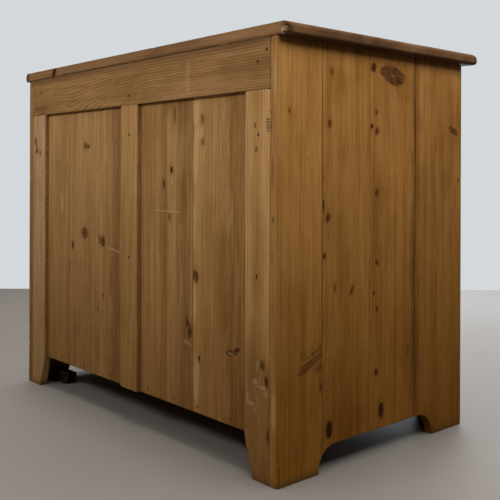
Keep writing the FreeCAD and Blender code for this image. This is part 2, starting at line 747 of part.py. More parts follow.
def keyhole(start_y, depth):
    """A round hole with a slot below it, which the key's shank and bit pass through."""
    hole = rod("y", "keyhole_radius", depth, (STILE_MIDDLE, start_y, KEY_Z))
    slot = block(about(STILE_MIDDLE, "keyhole_slot_width / 2"), (start_y, f"{start_y} + {depth}"),
                 (f"{KEY_Z} - key_bit_reach - lock_play", KEY_Z))
    return [hole, slot]


def make_lock():
    """A cut lock on the inner face of the right door: case, sliding bolt, key, plates."""
    case_zs = about("lock_height", "lock_case_height / 2")
    shell = block((LOCK_NEAR, LOCK_FAR), (DOOR_INNER, f"{DOOR_INNER} + lock_case_depth"), case_zs)
    hollow = block((f"{LOCK_NEAR} + lock_wall", f"{LOCK_FAR} - lock_wall"),
                   (f"{DOOR_INNER} - overrun", LOCK_CASE_BACK),
                   (f"{case_zs[0]} + lock_wall", f"{case_zs[1]} - lock_wall"))
    mouth = block((f"{LOCK_NEAR} - overrun", f"{LOCK_NEAR} + lock_wall + overrun"),
                  (f"{LOCK_BOLT_YS[0]} - lock_play", LOCK_CASE_BACK),
                  (f"{LOCK_BOLT_LOW} - lock_play", f"{LOCK_BOLT_LOW} + lock_bolt_height + lock_play"))
    drill_pin = rod("y", "lock_drill_pin_radius", "lock_drill_pin_length + lock_wall",
                    (STILE_MIDDLE, f"{LOCK_CASE_BACK} - lock_drill_pin_length", KEY_Z))
    node("lock_case", fuse(cut(shell, hollow, mouth), drill_pin))

    bolt = block((LOCK_NEAR, f"{LOCK_NEAR} + lock_bolt_length"), LOCK_BOLT_YS,
                 (LOCK_BOLT_LOW, f"{LOCK_BOLT_LOW} + lock_bolt_height"))
    notch_middle = f"({STILE_MIDDLE} + lock_bolt_travel / 2)"
    notch = block(about(notch_middle, "lock_notch_half_width"), past(*LOCK_BOLT_YS),
                  (f"{LOCK_BOLT_LOW} - overrun", f"{LOCK_BOLT_LOW} + lock_notch_depth"))
    node("lock_bolt", cut(bolt, notch))

    plate_start = f"{FRONT} - escutcheon_thickness"
    ends = [
        rod("y", "escutcheon_half_width", "escutcheon_thickness", (STILE_MIDDLE, plate_start, z))
        for z in about(KEY_Z, "escutcheon_straight / 2")
    ]
    body = block(about(STILE_MIDDLE, "escutcheon_half_width"), (plate_start, FRONT),
                 about(KEY_Z, "escutcheon_straight / 2"))
    node("escutcheon", cut(fuse(body, *ends), *keyhole(f"{plate_start} - overrun",
                                                       "escutcheon_thickness + 2 * overrun")))

    strike_xs = across("left", MEETING_EDGE, f"{MEETING_EDGE} + strike_width")
    node("strike_plate", block(strike_xs, (DOOR_INNER, f"{DOOR_INNER} + strike_thickness"),
                               about("lock_height", "strike_height / 2")))
    node("lock_key", make_key())


def make_key():
    """A key with a ring bow, a shank bored for the drill pin, and a plain bit that points down."""
    tip = f"({LOCK_CASE_BACK} - lock_play)"
    bow_middle = f"({FRONT} - key_bow_out)"
    shank_start = f"({bow_middle} + key_bow_radius)"
    shank = rod("y", "key_shank_radius", f"{tip} - {shank_start}", (STILE_MIDDLE, shank_start, KEY_Z))
    bow = DOC.addObject("Part::Torus", "bow")
    bow.Placement = FreeCAD.Placement(FreeCAD.Vector(), AXIS_TURNS["x"])
    bind(bow, Radius1="key_bow_radius", Radius2="key_bow_wire_radius")
    move_to(bow, STILE_MIDDLE, bow_middle, KEY_Z)
    bit = block(about(STILE_MIDDLE, "key_bit_thickness / 2"), (f"{DOOR_INNER} + key_bit_clearance", tip),
                (f"{KEY_Z} - key_bit_reach", KEY_Z))
    bore = rod("y", "lock_drill_pin_radius + hinge_pin_clearance", "lock_drill_pin_length + overrun",
               (STILE_MIDDLE, f"{LOCK_CASE_BACK} - lock_drill_pin_length - lock_play", KEY_Z))
    return cut(fuse(shank, bow, bit), bore)


ROD_X = f"(-{STILE_MIDDLE})"
ROD_Y = f"({DOOR_INNER} + bolt_plate_thickness + bolt_rod_lift + bolt_rod_radius)"
KEEPER_LOW = f"({STOP_LOW} - bolt_keeper_thickness)"
ROD_TOP = f"({KEEPER_LOW} - bolt_rod_below_keeper)"
BOLT_PLATE_HIGH = f"({ROD_TOP} - bolt_rod_above_plate)"
BOLT_PLATE_LOW = f"({BOLT_PLATE_HIGH} - bolt_plate_length)"


def keeper_hole():
    return rod("z", "bolt_rod_radius + bolt_keeper_hole_play", "stop_drop + stop_rise + 2 * overrun",
               (ROD_X, ROD_Y, f"{STOP_LOW} - overrun"))


def make_upright_bolt():
    """A brass bolt inside the left door that slides up through a keeper into the door stop."""
    plate_face = f"({DOOR_INNER} + bolt_plate_thickness)"
    plate = block(about(ROD_X, "bolt_plate_width / 2"), (DOOR_INNER, plate_face),
                  (BOLT_PLATE_LOW, BOLT_PLATE_HIGH))
    loop_ys = (plate_face, f"{ROD_Y} + bolt_rod_radius + bolt_loop_rim")
    loops = [
        block(about(ROD_X, "bolt_loop_width / 2"), loop_ys, zs)
        for zs in ((BOLT_PLATE_LOW, f"{BOLT_PLATE_LOW} + bolt_loop_height"),
                   (f"{BOLT_PLATE_HIGH} - bolt_loop_height", BOLT_PLATE_HIGH))
    ]
    bore = rod("z", "bolt_rod_radius + bolt_rod_clearance", "bolt_plate_length + 2 * overrun",
               (ROD_X, ROD_Y, f"{BOLT_PLATE_LOW} - overrun"))
    node("bolt_plate", cut(fuse(plate, *loops), bore))

    shaft = rod("z", "bolt_rod_radius", "bolt_rod_length", (ROD_X, ROD_Y, f"{ROD_TOP} - bolt_rod_length"))
    thumb = rod("y", "bolt_thumb_radius", "bolt_thumb_reach",
                (ROD_X, ROD_Y, f"({BOLT_PLATE_LOW} + {BOLT_PLATE_HIGH}) / 2"))
    node("bolt_rod", fuse(shaft, thumb))

    keeper = block(about(ROD_X, "bolt_keeper_width / 2"), (FRAME_INNER, f"{FRAME_INNER} + stop_depth"),
                   (KEEPER_LOW, STOP_LOW))
    node("bolt_keeper", cut(keeper, keeper_hole()))


def build():
    fill_sheet()
    make_top()
    for side in ("left", "right"):
        make_side(side)
    make_back()
    make_bottom_and_shelf()
    make_front_frame()
    make_blocks()
    for side in ("left", "right"):
        make_door(side)
    make_hinges()
    make_lock()
    make_upright_bolt()
    DOC.recompute()


def check():
    """Stop if any feature failed or any finished shape is empty or invalid."""
    for feature in DOC.Objects:
        if "Invalid" in feature.State or "Error" in feature.State:
            raise RuntimeError(f"{feature.Name} ({feature.Label}) failed: {feature.State}")
    for finished in NODES:
        if finished.Shape.isNull() or not finished.Shape.isValid() or not finished.Shape.Solids:
            raise RuntimeError(f"{finished.Label} has no sound shape")


def write():
    os.makedirs("parts", exist_ok=True)
    for finished in NODES:
        finished.Shape.exportStep(os.path.join("parts", f"{finished.Label}.step"))
        volume = sum(solid.Volume for solid in finished.Shape.Solids)
        print(f"{finished.Label}: {len(finished.Shape.Solids)} solids, {volume / 1000:.1f} cm3")
    print(len(NODES), "nodes")


build()
check()
write()
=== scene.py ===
"""The looks of an old pine cupboard: worn boards, knots, nails, brass and iron, on a plain floor.

Places and sizes of marks on the wood are in millimetres in the part's frame, and everything that
Blender holds is in metres in the same frame.
"""

import inspect
import itertools
import json
import math
import random
from dataclasses import dataclass

import bmesh
import bpy
from mathutils import Matrix, Vector, noise

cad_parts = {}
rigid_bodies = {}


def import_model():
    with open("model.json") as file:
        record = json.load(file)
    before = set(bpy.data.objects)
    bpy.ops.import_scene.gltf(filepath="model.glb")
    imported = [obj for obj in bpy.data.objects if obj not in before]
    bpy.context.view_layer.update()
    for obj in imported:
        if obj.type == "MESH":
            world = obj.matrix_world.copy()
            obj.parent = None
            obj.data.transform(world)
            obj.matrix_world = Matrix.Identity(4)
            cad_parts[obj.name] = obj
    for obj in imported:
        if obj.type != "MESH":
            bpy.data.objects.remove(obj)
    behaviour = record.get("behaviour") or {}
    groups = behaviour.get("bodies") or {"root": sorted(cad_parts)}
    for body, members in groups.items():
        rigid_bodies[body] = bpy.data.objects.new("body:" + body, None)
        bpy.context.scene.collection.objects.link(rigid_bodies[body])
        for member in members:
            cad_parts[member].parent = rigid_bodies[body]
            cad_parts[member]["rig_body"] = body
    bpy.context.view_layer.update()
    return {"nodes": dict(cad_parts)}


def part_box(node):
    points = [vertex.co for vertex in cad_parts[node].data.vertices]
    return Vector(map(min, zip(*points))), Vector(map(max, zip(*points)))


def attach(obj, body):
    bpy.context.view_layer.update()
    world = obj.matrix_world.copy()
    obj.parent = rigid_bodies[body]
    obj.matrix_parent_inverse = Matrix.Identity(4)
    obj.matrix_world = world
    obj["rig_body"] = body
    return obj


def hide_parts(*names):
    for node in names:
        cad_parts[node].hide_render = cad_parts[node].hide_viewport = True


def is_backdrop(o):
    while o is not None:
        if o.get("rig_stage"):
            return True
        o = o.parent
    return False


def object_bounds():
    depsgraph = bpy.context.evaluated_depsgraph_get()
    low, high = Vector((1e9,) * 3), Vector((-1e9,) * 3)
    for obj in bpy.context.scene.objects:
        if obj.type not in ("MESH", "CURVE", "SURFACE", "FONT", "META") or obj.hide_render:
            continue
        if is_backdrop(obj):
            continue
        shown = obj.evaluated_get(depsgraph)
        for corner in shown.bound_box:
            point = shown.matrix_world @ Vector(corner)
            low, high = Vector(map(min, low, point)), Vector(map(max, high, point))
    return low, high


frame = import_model()

MM = 0.001

# Camera, read from the photograph's vanishing lines
CAMERA_PLACE = Vector((-1.533, 1.284, 0.572))
CAMERA_AHEAD = Vector((0.7505, -0.6609, 0.0)).normalized()
CAMERA_LEVEL = Vector((CAMERA_AHEAD.y, -CAMERA_AHEAD.x, 0.0))
CAMERA_ROLL = 0.0035
CAMERA_LENS = 56.45
CAMERA_SENSOR = 36.0
CAMERA_SHIFT = -0.151
CAMERA_NEAREST = 0.05

# The floor ends where the photograph's floor meets the wall
FLOOR_AHEAD = 3.9
FLOOR_BEHIND = 3.0
FLOOR_HALF_WIDTH = 4.5
FLOOR_COLOUR = (0.173, 0.155, 0.139, 1.0)
FLOOR_ROUGHNESS = 0.62

# Corners this near are one. An edge is sharp above one angle, and a face flat below the other
WELD_REACH = 1e-5
SHARP_ANGLE = math.radians(30)
FLAT_ANGLE = math.radians(0.5)
ARRIS = 0.9 * MM
METAL_ARRIS = 0.3 * MM


# Arithmetic on shader values


def operator(operation, swapped=False):
    """A method for an operator sign. Swapped is for a Value that stands on the sign's right."""
    def method(self, other):
        terms = (other, self) if swapped else (self, other)
        return calculate(self.tree, operation, *terms)
    return method


class Value:
    """A number or vector that a material works out at each point, written as plain arithmetic."""

    __add__ = operator("ADD")
    __sub__ = operator("SUBTRACT")
    __rsub__ = operator("SUBTRACT", swapped=True)
    __mul__ = operator("MULTIPLY")
    __truediv__ = operator("DIVIDE")

    def __init__(self, tree, socket):
        self.tree = tree
        self.socket = socket


def plug(tree, value, socket):
    """Links a Value to an input, or sets the input to a plain number or colour."""
    if isinstance(value, Value):
        tree.links.new(value.socket, socket)
    else:
        socket.default_value = value


def calculate(tree, operation, *terms):
    node = tree.nodes.new("ShaderNodeMath")
    node.operation = operation
    for term, socket in zip(terms, node.inputs):
        plug(tree, term, socket)
    return Value(tree, node.outputs[0])


def function(operation):
    """A function of one or two Values."""
    return lambda *terms: calculate(terms[0].tree, operation, *terms)


root = function("SQRT")
exponential = function("EXPONENT")
size_of = function("ABSOLUTE")
fraction = function("FRACT")
least = function("MINIMUM")
most = function("MAXIMUM")


def ease(value, start, end):
    """0 before start and 1 after end, with a smooth step between."""
    node = value.tree.nodes.new("ShaderNodeMapRange")
    node.interpolation_type = "SMOOTHSTEP"
    plug(value.tree, value, node.inputs["Value"])
    node.inputs["From Min"].default_value = min(start, end)
    node.inputs["From Max"].default_value = max(start, end)
    node.inputs["To Min"].default_value = 0.0 if start < end else 1.0
    node.inputs["To Max"].default_value = 1.0 if start < end else 0.0
    return Value(value.tree, node.outputs["Result"])


def mingle(factor, first, second, blend="MIX"):
    """The colour first where factor is 0 and second, or both multiplied, where it is 1."""
    node = factor.tree.nodes.new("ShaderNodeMix")
    node.data_type = "RGBA"
    node.blend_type = blend
    node.clamp_factor = True
    plug(factor.tree, factor, node.inputs["Factor"])
    for colour, name in ((first, "A"), (second, "B")):
        socket = [s for s in node.inputs if s.name == name and s.type == "RGBA"][0]
        plug(factor.tree, colour, socket)
    return Value(factor.tree, [s for s in node.outputs if s.type == "RGBA"][0])


def cloud(along, across, depth, detail=2.0, roughness=0.5):
    """Soft noise around zero, from about -0.5 to 0.5. One unit of each input is one lump."""
    tree = along.tree
    place = tree.nodes.new("ShaderNodeCombineXYZ")
    for term, socket in zip((along, across, depth), place.inputs):
        plug(tree, term, socket)
    node = tree.nodes.new("ShaderNodeTexNoise")
    node.inputs["Scale"].default_value = 1.0
    node.inputs["Detail"].default_value = detail
    node.inputs["Roughness"].default_value = roughness
    tree.links.new(place.outputs[0], node.inputs["Vector"])
    return Value(tree, node.outputs[0]) - 0.5


COLOUR_TITLES = ("colour", "tone", "early", "late", "stain")


class Group:
    """A part of a material that is made once and used by many. Its inputs are work's arguments."""

    def __init__(self, work):
        self.tree = bpy.data.node_groups.new(work.__name__, "ShaderNodeTree")
        self.takes = tuple(inspect.signature(work).parameters)
        for title in self.takes:
            self.add_socket(title, "INPUT")
        entry = self.tree.nodes.new("NodeGroupInput")
        given = {title: Value(self.tree, entry.outputs[title]) for title in self.takes}
        results = work(**given)
        for title in results:
            self.add_socket(title, "OUTPUT")
        exit_node = self.tree.nodes.new("NodeGroupOutput")
        for title, value in results.items():
            plug(self.tree, value, exit_node.inputs[title])
        self.gives = tuple(results)

    def add_socket(self, title, side):
        kind = "NodeSocketColor" if title in COLOUR_TITLES else "NodeSocketFloat"
        self.tree.interface.new_socket(title, in_out=side, socket_type=kind)

    def use(self, tree, known, **values):
        """Adds the group to a tree. An input that values leave out comes from known."""
        node = tree.nodes.new("ShaderNodeGroup")
        node.node_tree = self.tree
        for title in self.takes:
            plug(tree, values[title] if title in values else known[title], node.inputs[title])
        return {title: Value(tree, node.outputs[title]) for title in self.gives}


def add_object(name, data):
    thing = bpy.data.objects.new(name, data)
    bpy.context.scene.collection.objects.link(thing)
    return thing


def shader(name):
    """A new material with its tree and its main shader."""
    material = bpy.data.materials.new(name)
    material.use_nodes = True
    tree = material.node_tree
    return material, tree, tree.nodes["Principled BSDF"]


def parts_of(tree, output):
    """The x, y and z of one of the point's own coordinates."""
    source = tree.nodes.new("ShaderNodeTexCoord")
    split = tree.nodes.new("ShaderNodeSeparateXYZ")
    tree.links.new(source.outputs[output], split.inputs[0])
    return {axis: Value(tree, split.outputs[i]) for i, axis in enumerate("xyz")}


def places(tree):
    """The point's x, y and z in millimetres in the part's frame."""
    return {axis: value * (1.0 / MM) for axis, value in parts_of(tree, "Object").items()}


def facing(tree, axis):
    """How squarely the surface faces along one axis, from 0 to 1."""
    return size_of(parts_of(tree, "Normal")[axis])


def relief(tree, height, principled):
    """Bends the surface's normal by a height in millimetres."""
    bump = tree.nodes.new("ShaderNodeBump")
    bump.inputs["Strength"].default_value = 1.0
    bump.inputs["Distance"].default_value = MM
    plug(tree, height, bump.inputs["Height"])
    tree.links.new(bump.outputs[0], principled.inputs["Normal"])


# Wood


@dataclass
class Knot:
    """A branch's end in a board's face. Sizes are half widths, and tilt turns the long one."""

    along: float
    across: float
    long: float
    wide: float
    tilt: float = 0.0
    tone: str = "brown"
    strength: float = 1.0


@dataclass
class Swell:
    """A place where the rings rise to the face and close up into an oval figure."""

    along: float
    across: float
    long: float
    wide: float
    height: float


@dataclass
class Band:
    """A stripe along the grain that is paler or darker than the rest."""

    start: float
    end: float
    soft: float
    tone: str
    strength: float


@dataclass
class Scratch:
    """A straight mark from one point of the face to another."""

    along: float
    across: float
    to_along: float
    to_across: float
    wide: float
    tone: str = "pale"
    strength: float = 0.6


@dataclass
class Patch:
    """A stain or bare spot on any face: its middle and half sizes along x, y and z."""

    mid_x: float
    mid_y: float
    mid_z: float
    half_x: float
    half_y: float
    half_z: float
    tone: str
    strength: float = 0.8


@dataclass
class Timber:
    """How one board was cut, and what it has been through."""

    grain: str
    across: str
    depth: str
    pith: tuple = (0.0, -90.0)
    lean: tuple = (0.0, 0.0)
    ring: float = 4.0
    contrast: float = 1.0
    rough: float = 1.0
    tint: tuple = (1.0, 1.0, 1.0)
    seed: float = 0.0
    face: str = "old"
    end_reach: float = 0.0
    knots: tuple = ()
    swells: tuple = ()
    bands: tuple = ()
    scratches: tuple = ()
    nails: tuple = ()
    patches: tuple = ()


WHITE = (1.0, 1.0, 1.0)
KNOT_TONES = {
    "brown": (0.125, 0.046, 0.016),
    "plum": (0.064, 0.021, 0.013),
    "grey": (0.13, 0.066, 0.032),
    "black": (0.034, 0.013, 0.005),
    "amber": (0.19, 0.076, 0.022),
    "dark_red": (0.075, 0.017, 0.008),
}
MARK_TONES = {
    "pale": (0.5, 0.36, 0.2),
    "cream": (0.5, 0.325, 0.14),
    "red": (0.175, 0.082, 0.026),
    "dark": (0.075, 0.034, 0.012),
    "black": (0.018, 0.009, 0.004),
    "grey": (0.085, 0.07, 0.06),
    "slate": (0.06, 0.045, 0.03),
    "edge": (0.29, 0.155, 0.062),
    "raw": (0.47, 0.34, 0.2),
}
# Earlywood, latewood and deep stain of each kind of surface
FACES = {
    "old": ((0.405, 0.22, 0.074), (0.255, 0.117, 0.03), (0.135, 0.054, 0.0035)),
    "back": ((0.432, 0.25, 0.104), (0.268, 0.14, 0.049), (0.132, 0.062, 0.0125)),
    "top": ((0.3, 0.165, 0.074), (0.185, 0.094, 0.036), (0.07, 0.033, 0.017)),
    "bare": ((0.52, 0.35, 0.17), (0.4, 0.22, 0.085), (0.22, 0.115, 0.045)),
}
# What the wood near the floor is multiplied by: painted shade, darker towards the floor
LOW_DIRT = {
    "old": (0.6, 0.51, 0.272, 1.0),
    "back": (0.52, 0.46, 0.335, 1.0),
    "top": (1.0, 1.0, 1.0, 1.0),
    "bare": (0.75, 0.7, 0.62, 1.0),
}
NAIL_HEAD = (0.034, 0.015, 0.006, 1.0)
# Colour of the painted shadow under the top's overhang
UNDER_TOP_GRIME = (0.03, 0.014, 0.006, 1.0)
FLOOR_DIRT = (0.05, 0.03, 0.016, 1.0)
SLOT_DIRT = (0.012, 0.009, 0.006, 1.0)
WAX_SHEEN = 0.03
# How far a rubbed arris has lost its colour
RUBBED_BARE = 0.25
# Heights in millimetres of the painted shadow under the top and of the painted shade that rises from
# the floor
GRIME_STARTS, GRIME_FULL, GRIME_ENDS = 800.0, 828.0, 832.0
DIRT_STARTS, DIRT_FULL = 720.0, -60.0
# Radii of a nail's head, of the dent round it and of its stain
NAIL_RADIUS, NAIL_DENT, NAIL_STAIN = 2.6, 3.4, 6.5
# Half width and length of a screw's slot
SLOT_HALF_WIDTH, SLOT_REACH = 0.75, 4.2


def tinted(colour, tint=WHITE):
    return tuple(c * t for c, t in zip(colour, tint)) + (1.0,)


# A board's noises: millimetres along and across the grain to one lump, detail and roughness
GRAIN_NOISES = {
    "drift": (420, 160, 1, 0.5),
    "ripple": (70, 22, 2, 0.5),
    "fibre": (40, 1.1, 2, 0.6),
    "grit": (3, 2.2, 2, 0.5),
    "broad": (900, 26, 2, 0.5),
    "narrow": (300, 6, 3, 0.65),
    "figure": (95, 13, 3, 0.6),
    "blotch": (130, 90, 3, 0.5),
    "age": (500, 220, 1, 0.5),
    "lump": (8, 6, 2, 0.5),
    "rays": (3, 2.4, 3, 0.5),
}


def grain_noise(u, v, w, seed):
    """The noises that a board's rings, streaks and stains are made of."""
    shift = seed * 37.0
    return {
        title: cloud(u / along + shift, v / across, w / across, detail, roughness)
        for title, (along, across, detail, roughness) in GRAIN_NOISES.items()
    }


def knot_shape(u, v, along, across, long, wide, cosine, sine, warp):
    """A knot's oval distance, 1 at its rim, and how far it pushes the rings aside."""
    du = u - along
    dv = v - across
    onward = (du * cosine + dv * sine) / long
    beside = (dv * cosine - du * sine) / wide
    lobes = cloud(onward + along * 0.37, beside + across * 0.23, warp, 3.0, 0.6)
    reach = root(onward * onward + beside * beside) + warp * 0.4 + lobes
    far = du / (long * 3.4)
    out = dv / (wide * 2.6)
    return {"reach": reach, "bow": dv * exponential((far * far + out * out) * -1.0) * 0.85}


def ring_lines(u, v, w, bow, rise, across, depth, slope, dive, ring, drift, ripple):
    """Dark latewood lines, at a distance from the pith that bends round knots and swells."""
    off = v - bow - across - u * slope + drift * 6.0
    deep = w - depth - u * dive
    radius = root(off * off + deep * deep) - rise + drift * 26.0 + ripple * 3.0
    turn = fraction(radius / ring)
    year = cloud(radius / ring * 0.55, u / 400.0, w / 200.0, 1.0)
    lines = ease(turn, 0.3, 0.86) * ease(turn, 1.0, 0.92)
    return {"latewood": lines * (ease(year, -0.2, 0.16) * 0.75 + 0.35)}


def swell_rise(u, v, along, across, long, wide, height):
    du = (u - along) / long
    dv = (v - across) / wide
    return {"rise": exponential((du * du + dv * dv) * -1.0) * height}


def wood_paint(latewood, contrast, rough, early, late, stain, ripple, fibre, grit, broad, narrow,
               figure, blotch, age):
    """The wood's own colour, height and roughness, before knots and marks."""
    lines = latewood * contrast * ease(blotch + broad * 0.8, -0.5, 0.3)
    depth = lines * 0.9 + (narrow * 1.5 + fibre * 1.15) * rough + broad * 0.6 + figure * 0.75
    depth = depth + ripple * 0.45
    colour = mingle(depth + 0.36, early, late)
    pores = ease(fibre + narrow * 0.5, 0.13, 0.34)
    colour = mingle(pores * 0.34, colour, stain)
    old = ease(blotch + broad * 0.7 + age * 0.8, -0.06, 0.58)
    colour = mingle(old * 0.66, colour, stain)
    return {
        "colour": colour,
        "height": latewood * 0.05 + fibre * 0.1 + grit * 0.05 + blotch * 0.15,
        "shine": narrow * 0.1 + blotch * 0.18 + 0.5,
    }


def knot_paint(colour, late, tone, reach, fibre, lump, rays, strength):
    """A dark knot with a broken rim, rings round its heart and warmer wood about it."""
    halo = ease(reach, 2.9, 0.7)
    core = ease(reach + fibre * 0.35 + lump * 0.8, 1.16, 0.7)
    heart = ease(reach + fibre * 0.2 + lump * 1.6, 0.62, 0.2)
    rim = ease(reach + lump * 0.6, 0.66, 0.9) * ease(reach + lump * 0.6, 1.2, 0.98)
    rounds = ease(size_of(fraction(reach * 3.0 + rays * 0.9) - 0.5), 0.26, 0.5)
    black = tinted(KNOT_TONES["black"])
    colour = mingle(halo * strength * 0.55, colour, late)
    colour = mingle(core * strength * (rays * 1.2 + 0.92), colour, tone)
    colour = mingle(core * rounds * strength * 0.34, colour, black)
    colour = mingle(rim * ease(rays + lump * 0.5, -0.12, 0.14) * strength * 0.9, colour, black)
    colour = mingle(heart * strength * 0.5, colour, black)
    return {"colour": colour, "height": core * 0.18 - rim * 0.25 + rays * core * 0.12}


def mark_paint(colour, tone, u, v, along, across, cosine, sine, length, wide, strength,
               ripple, fibre, grit):
    """A straight scuff or scratch, with broken edges."""
    du = u - along
    dv = v - across
    beside = size_of((dv * cosine - du * sine) / wide + ripple * 1.2)
    onward = (du * cosine + dv * sine) / length
    inside = ease(beside, 1.0, 0.5) * ease(onward, -0.04, 0.06) * ease(onward, 1.04, 0.94)
    inside = inside * ease(fibre + grit, -0.3, 0.12)
    return {"colour": mingle(inside * strength, colour, tone), "height": inside * -0.15}


def patch_paint(colour, tone, x, y, z, mid_x, mid_y, mid_z, half_x, half_y, half_z, strength,
                ripple, fibre, grit):
    """A patch with a ragged rim, streaked along the fibres."""
    dx = (x - mid_x) / half_x
    dy = (y - mid_y) / half_y
    dz = (z - mid_z) / half_z
    reach = root(dx * dx + dy * dy + dz * dz) + ripple * 0.9 + grit + fibre
    broken = ease(grit + fibre * 0.7, -0.26, 0.1)
    return {"colour": mingle(ease(reach, 1.1, 0.6) * broken * strength, colour, tone)}


def nail_paint(colour, tone, u, v, along, across, grit):
    """A nail's dark head, just below the face, in a stain."""
    du = u - along
    dv = v - across
    reach = root(du * du + dv * dv) + grit * 0.8
    head = ease(reach, NAIL_RADIUS, 2.1)
    colour = mingle(ease(reach, NAIL_STAIN, 1.8) * 0.55, colour, tone)
    colour = mingle(head * 0.9, colour, NAIL_HEAD)
    return {"colour": colour, "height": head * 0.2 - ease(reach, NAIL_DENT, 2.4) * 0.35}


def band_paint(colour, tone, v, start, end, soft, strength, ripple, narrow, figure):
    inside = ease((v - start) / soft + ripple * 4.0, -1.0, 1.0)
    inside = inside * ease((end - v) / soft + ripple * 4.0, -1.0, 1.0)
    return {"colour": mingle(inside * (narrow * 1.2 + figure * 1.4 + 0.86) * strength, colour, tone)}


def arris_distance(x, y, z, low_x, high_x, low_y, high_y, low_z, high_z):
    """How far a point on the board's surface is from the nearest arris, in millimetres."""
    gaps = [least(x - low_x, high_x - x), least(y - low_y, high_y - y), least(z - low_z, high_z - z)]
    nearest = least(least(gaps[0], gaps[1]), gaps[2])
    furthest = most(most(gaps[0], gaps[1]), gaps[2])
    return {"arris": gaps[0] + gaps[1] + gaps[2] - nearest - furthest}


def wear_paint(colour, stain, tone, z, arris, ends, shine, ripple, narrow, blotch, grit):
    """Rubbed arrises, grime in joints, dark end grain, painted shade near the floor and under the top.
    """
    rubbed = ease(arris + ripple * 3.0, 2.4, 0.3) * ease(blotch + grit * 0.4, -0.15, 0.25) * RUBBED_BARE
    colour = mingle(rubbed, colour, tinted(MARK_TONES["pale"]))
    grime = ease(arris + ripple * 2.5 + blotch * 3.0, 2.4, 0.0) * (1.0 - rubbed)
    colour = mingle(grime * 0.5, colour, stain)
    colour = mingle(ends * (blotch * 0.9 + grit * 0.5 + 0.66), colour, stain)
    # Painted shade: the wood darkens towards the floor
    low = ease(z + blotch * 200.0, DIRT_STARTS, DIRT_FULL)
    colour = mingle(low, colour, tone, "MULTIPLY")
    # Painted shadow under the top's overhang
    tucked = ease(z + ripple * 6.0, GRIME_STARTS, GRIME_FULL) * ease(z, GRIME_ENDS, GRIME_FULL)
    colour = mingle(tucked * 0.5, colour, UNDER_TOP_GRIME)
    dirt = ease(z + blotch * 26.0 + narrow * 8.0, 16.0, 0.0)
    colour = mingle(dirt * 0.55, colour, FLOOR_DIRT)
    return {"colour": colour, "shine": shine + ends * 0.2 + grime * 0.15}


GROUPS = {
    work: Group(work)
    for work in (
        grain_noise, knot_shape, ring_lines, swell_rise, wood_paint, knot_paint,
        mark_paint, patch_paint, nail_paint, band_paint, arris_distance, wear_paint,
    )
}


def pine(name, timber, box):
    """Pine with growth rings cut in three dimensions, knots, streaks, stains, marks, wear and painted
    shade.
    """
    material, tree, principled = shader(name)
    known = places(tree)
    u, v, w = known[timber.grain], known[timber.across], known[timber.depth]
    early, late, stain = (tinted(c, timber.tint) for c in FACES[timber.face])
    known.update(u=u, v=v, w=w, early=early, late=late, stain=stain, bow=0.0, rise=0.0)

    def use(work, **values):
        return GROUPS[work].use(tree, known, **values)

    def paint(work, **values):
        """Covers the colour so far. A group that gives a height adds it to the relief."""
        result = use(work, **values)
        known["colour"] = result["colour"]
        if "height" in result:
            known["height"] = known["height"] + result["height"]

    known.update(use(grain_noise, seed=timber.seed))
    knots = []
    for knot in timber.knots:
        turn = math.radians(knot.tilt)
        shape = use(
            knot_shape, **vars(knot), cosine=math.cos(turn), sine=math.sin(turn),
            warp=known["ripple"],
        )
        known["bow"] = shape["bow"] * knot.strength + known["bow"]
        knots.append((knot, shape["reach"]))
    for swell in timber.swells:
        known["rise"] = use(swell_rise, **vars(swell))["rise"] + known["rise"]
    known.update(use(
        ring_lines, across=timber.pith[0], depth=timber.pith[1], slope=timber.lean[0],
        dive=timber.lean[1], ring=timber.ring,
    ))
    known.update(use(wood_paint, contrast=timber.contrast, rough=timber.rough))
    for band in timber.bands:
        paint(band_paint, **vars(band) | {"tone": tinted(MARK_TONES[band.tone], timber.tint)})
    for knot, reach in knots:
        paint(knot_paint, tone=tinted(KNOT_TONES[knot.tone]), reach=reach, strength=knot.strength)
    for mark in timber.scratches:
        run, over = mark.to_along - mark.along, mark.to_across - mark.across
        length = math.hypot(run, over)
        paint(
            mark_paint, **vars(mark) | {"tone": tinted(MARK_TONES[mark.tone])},
            cosine=run / length, sine=over / length, length=length,
        )
    for along, across in timber.nails:
        paint(nail_paint, tone=tinted(MARK_TONES["dark"]), along=along, across=across)
    low, high = (Vector(corner) / MM for corner in box)
    arris = use(
        arris_distance, low_x=low.x, high_x=high.x, low_y=low.y, high_y=high.y, low_z=low.z,
        high_z=high.z,
    )["arris"]
    ends = ease(facing(tree, timber.grain), 0.55, 0.9)
    if timber.end_reach:
        grain = "xyz".index(timber.grain)
        from_end = least(u - low[grain], high[grain] - u) + known["ripple"] * 3.0
        ends = most(ends, ease(from_end, timber.end_reach, timber.end_reach * 0.8))
    known.update(use(wear_paint, tone=LOW_DIRT[timber.face], arris=arris, ends=ends))
    for patch in timber.patches:
        paint(patch_paint, **vars(patch) | {"tone": tinted(MARK_TONES[patch.tone])})
    plug(tree, known["colour"], principled.inputs["Base Color"])
    plug(tree, known["shine"], principled.inputs["Roughness"])
    principled.inputs["Specular IOR Level"].default_value = WAX_SHEEN
    relief(tree, known["height"], principled)
    return material


# What each board looks like

SIDE = dict(grain="z", across="y", depth="x")
BACK = dict(grain="z", across="x", depth="y", face="back")
TOP = dict(end_reach=19, face="top", tint=(0.9, 0.88, 0.88))

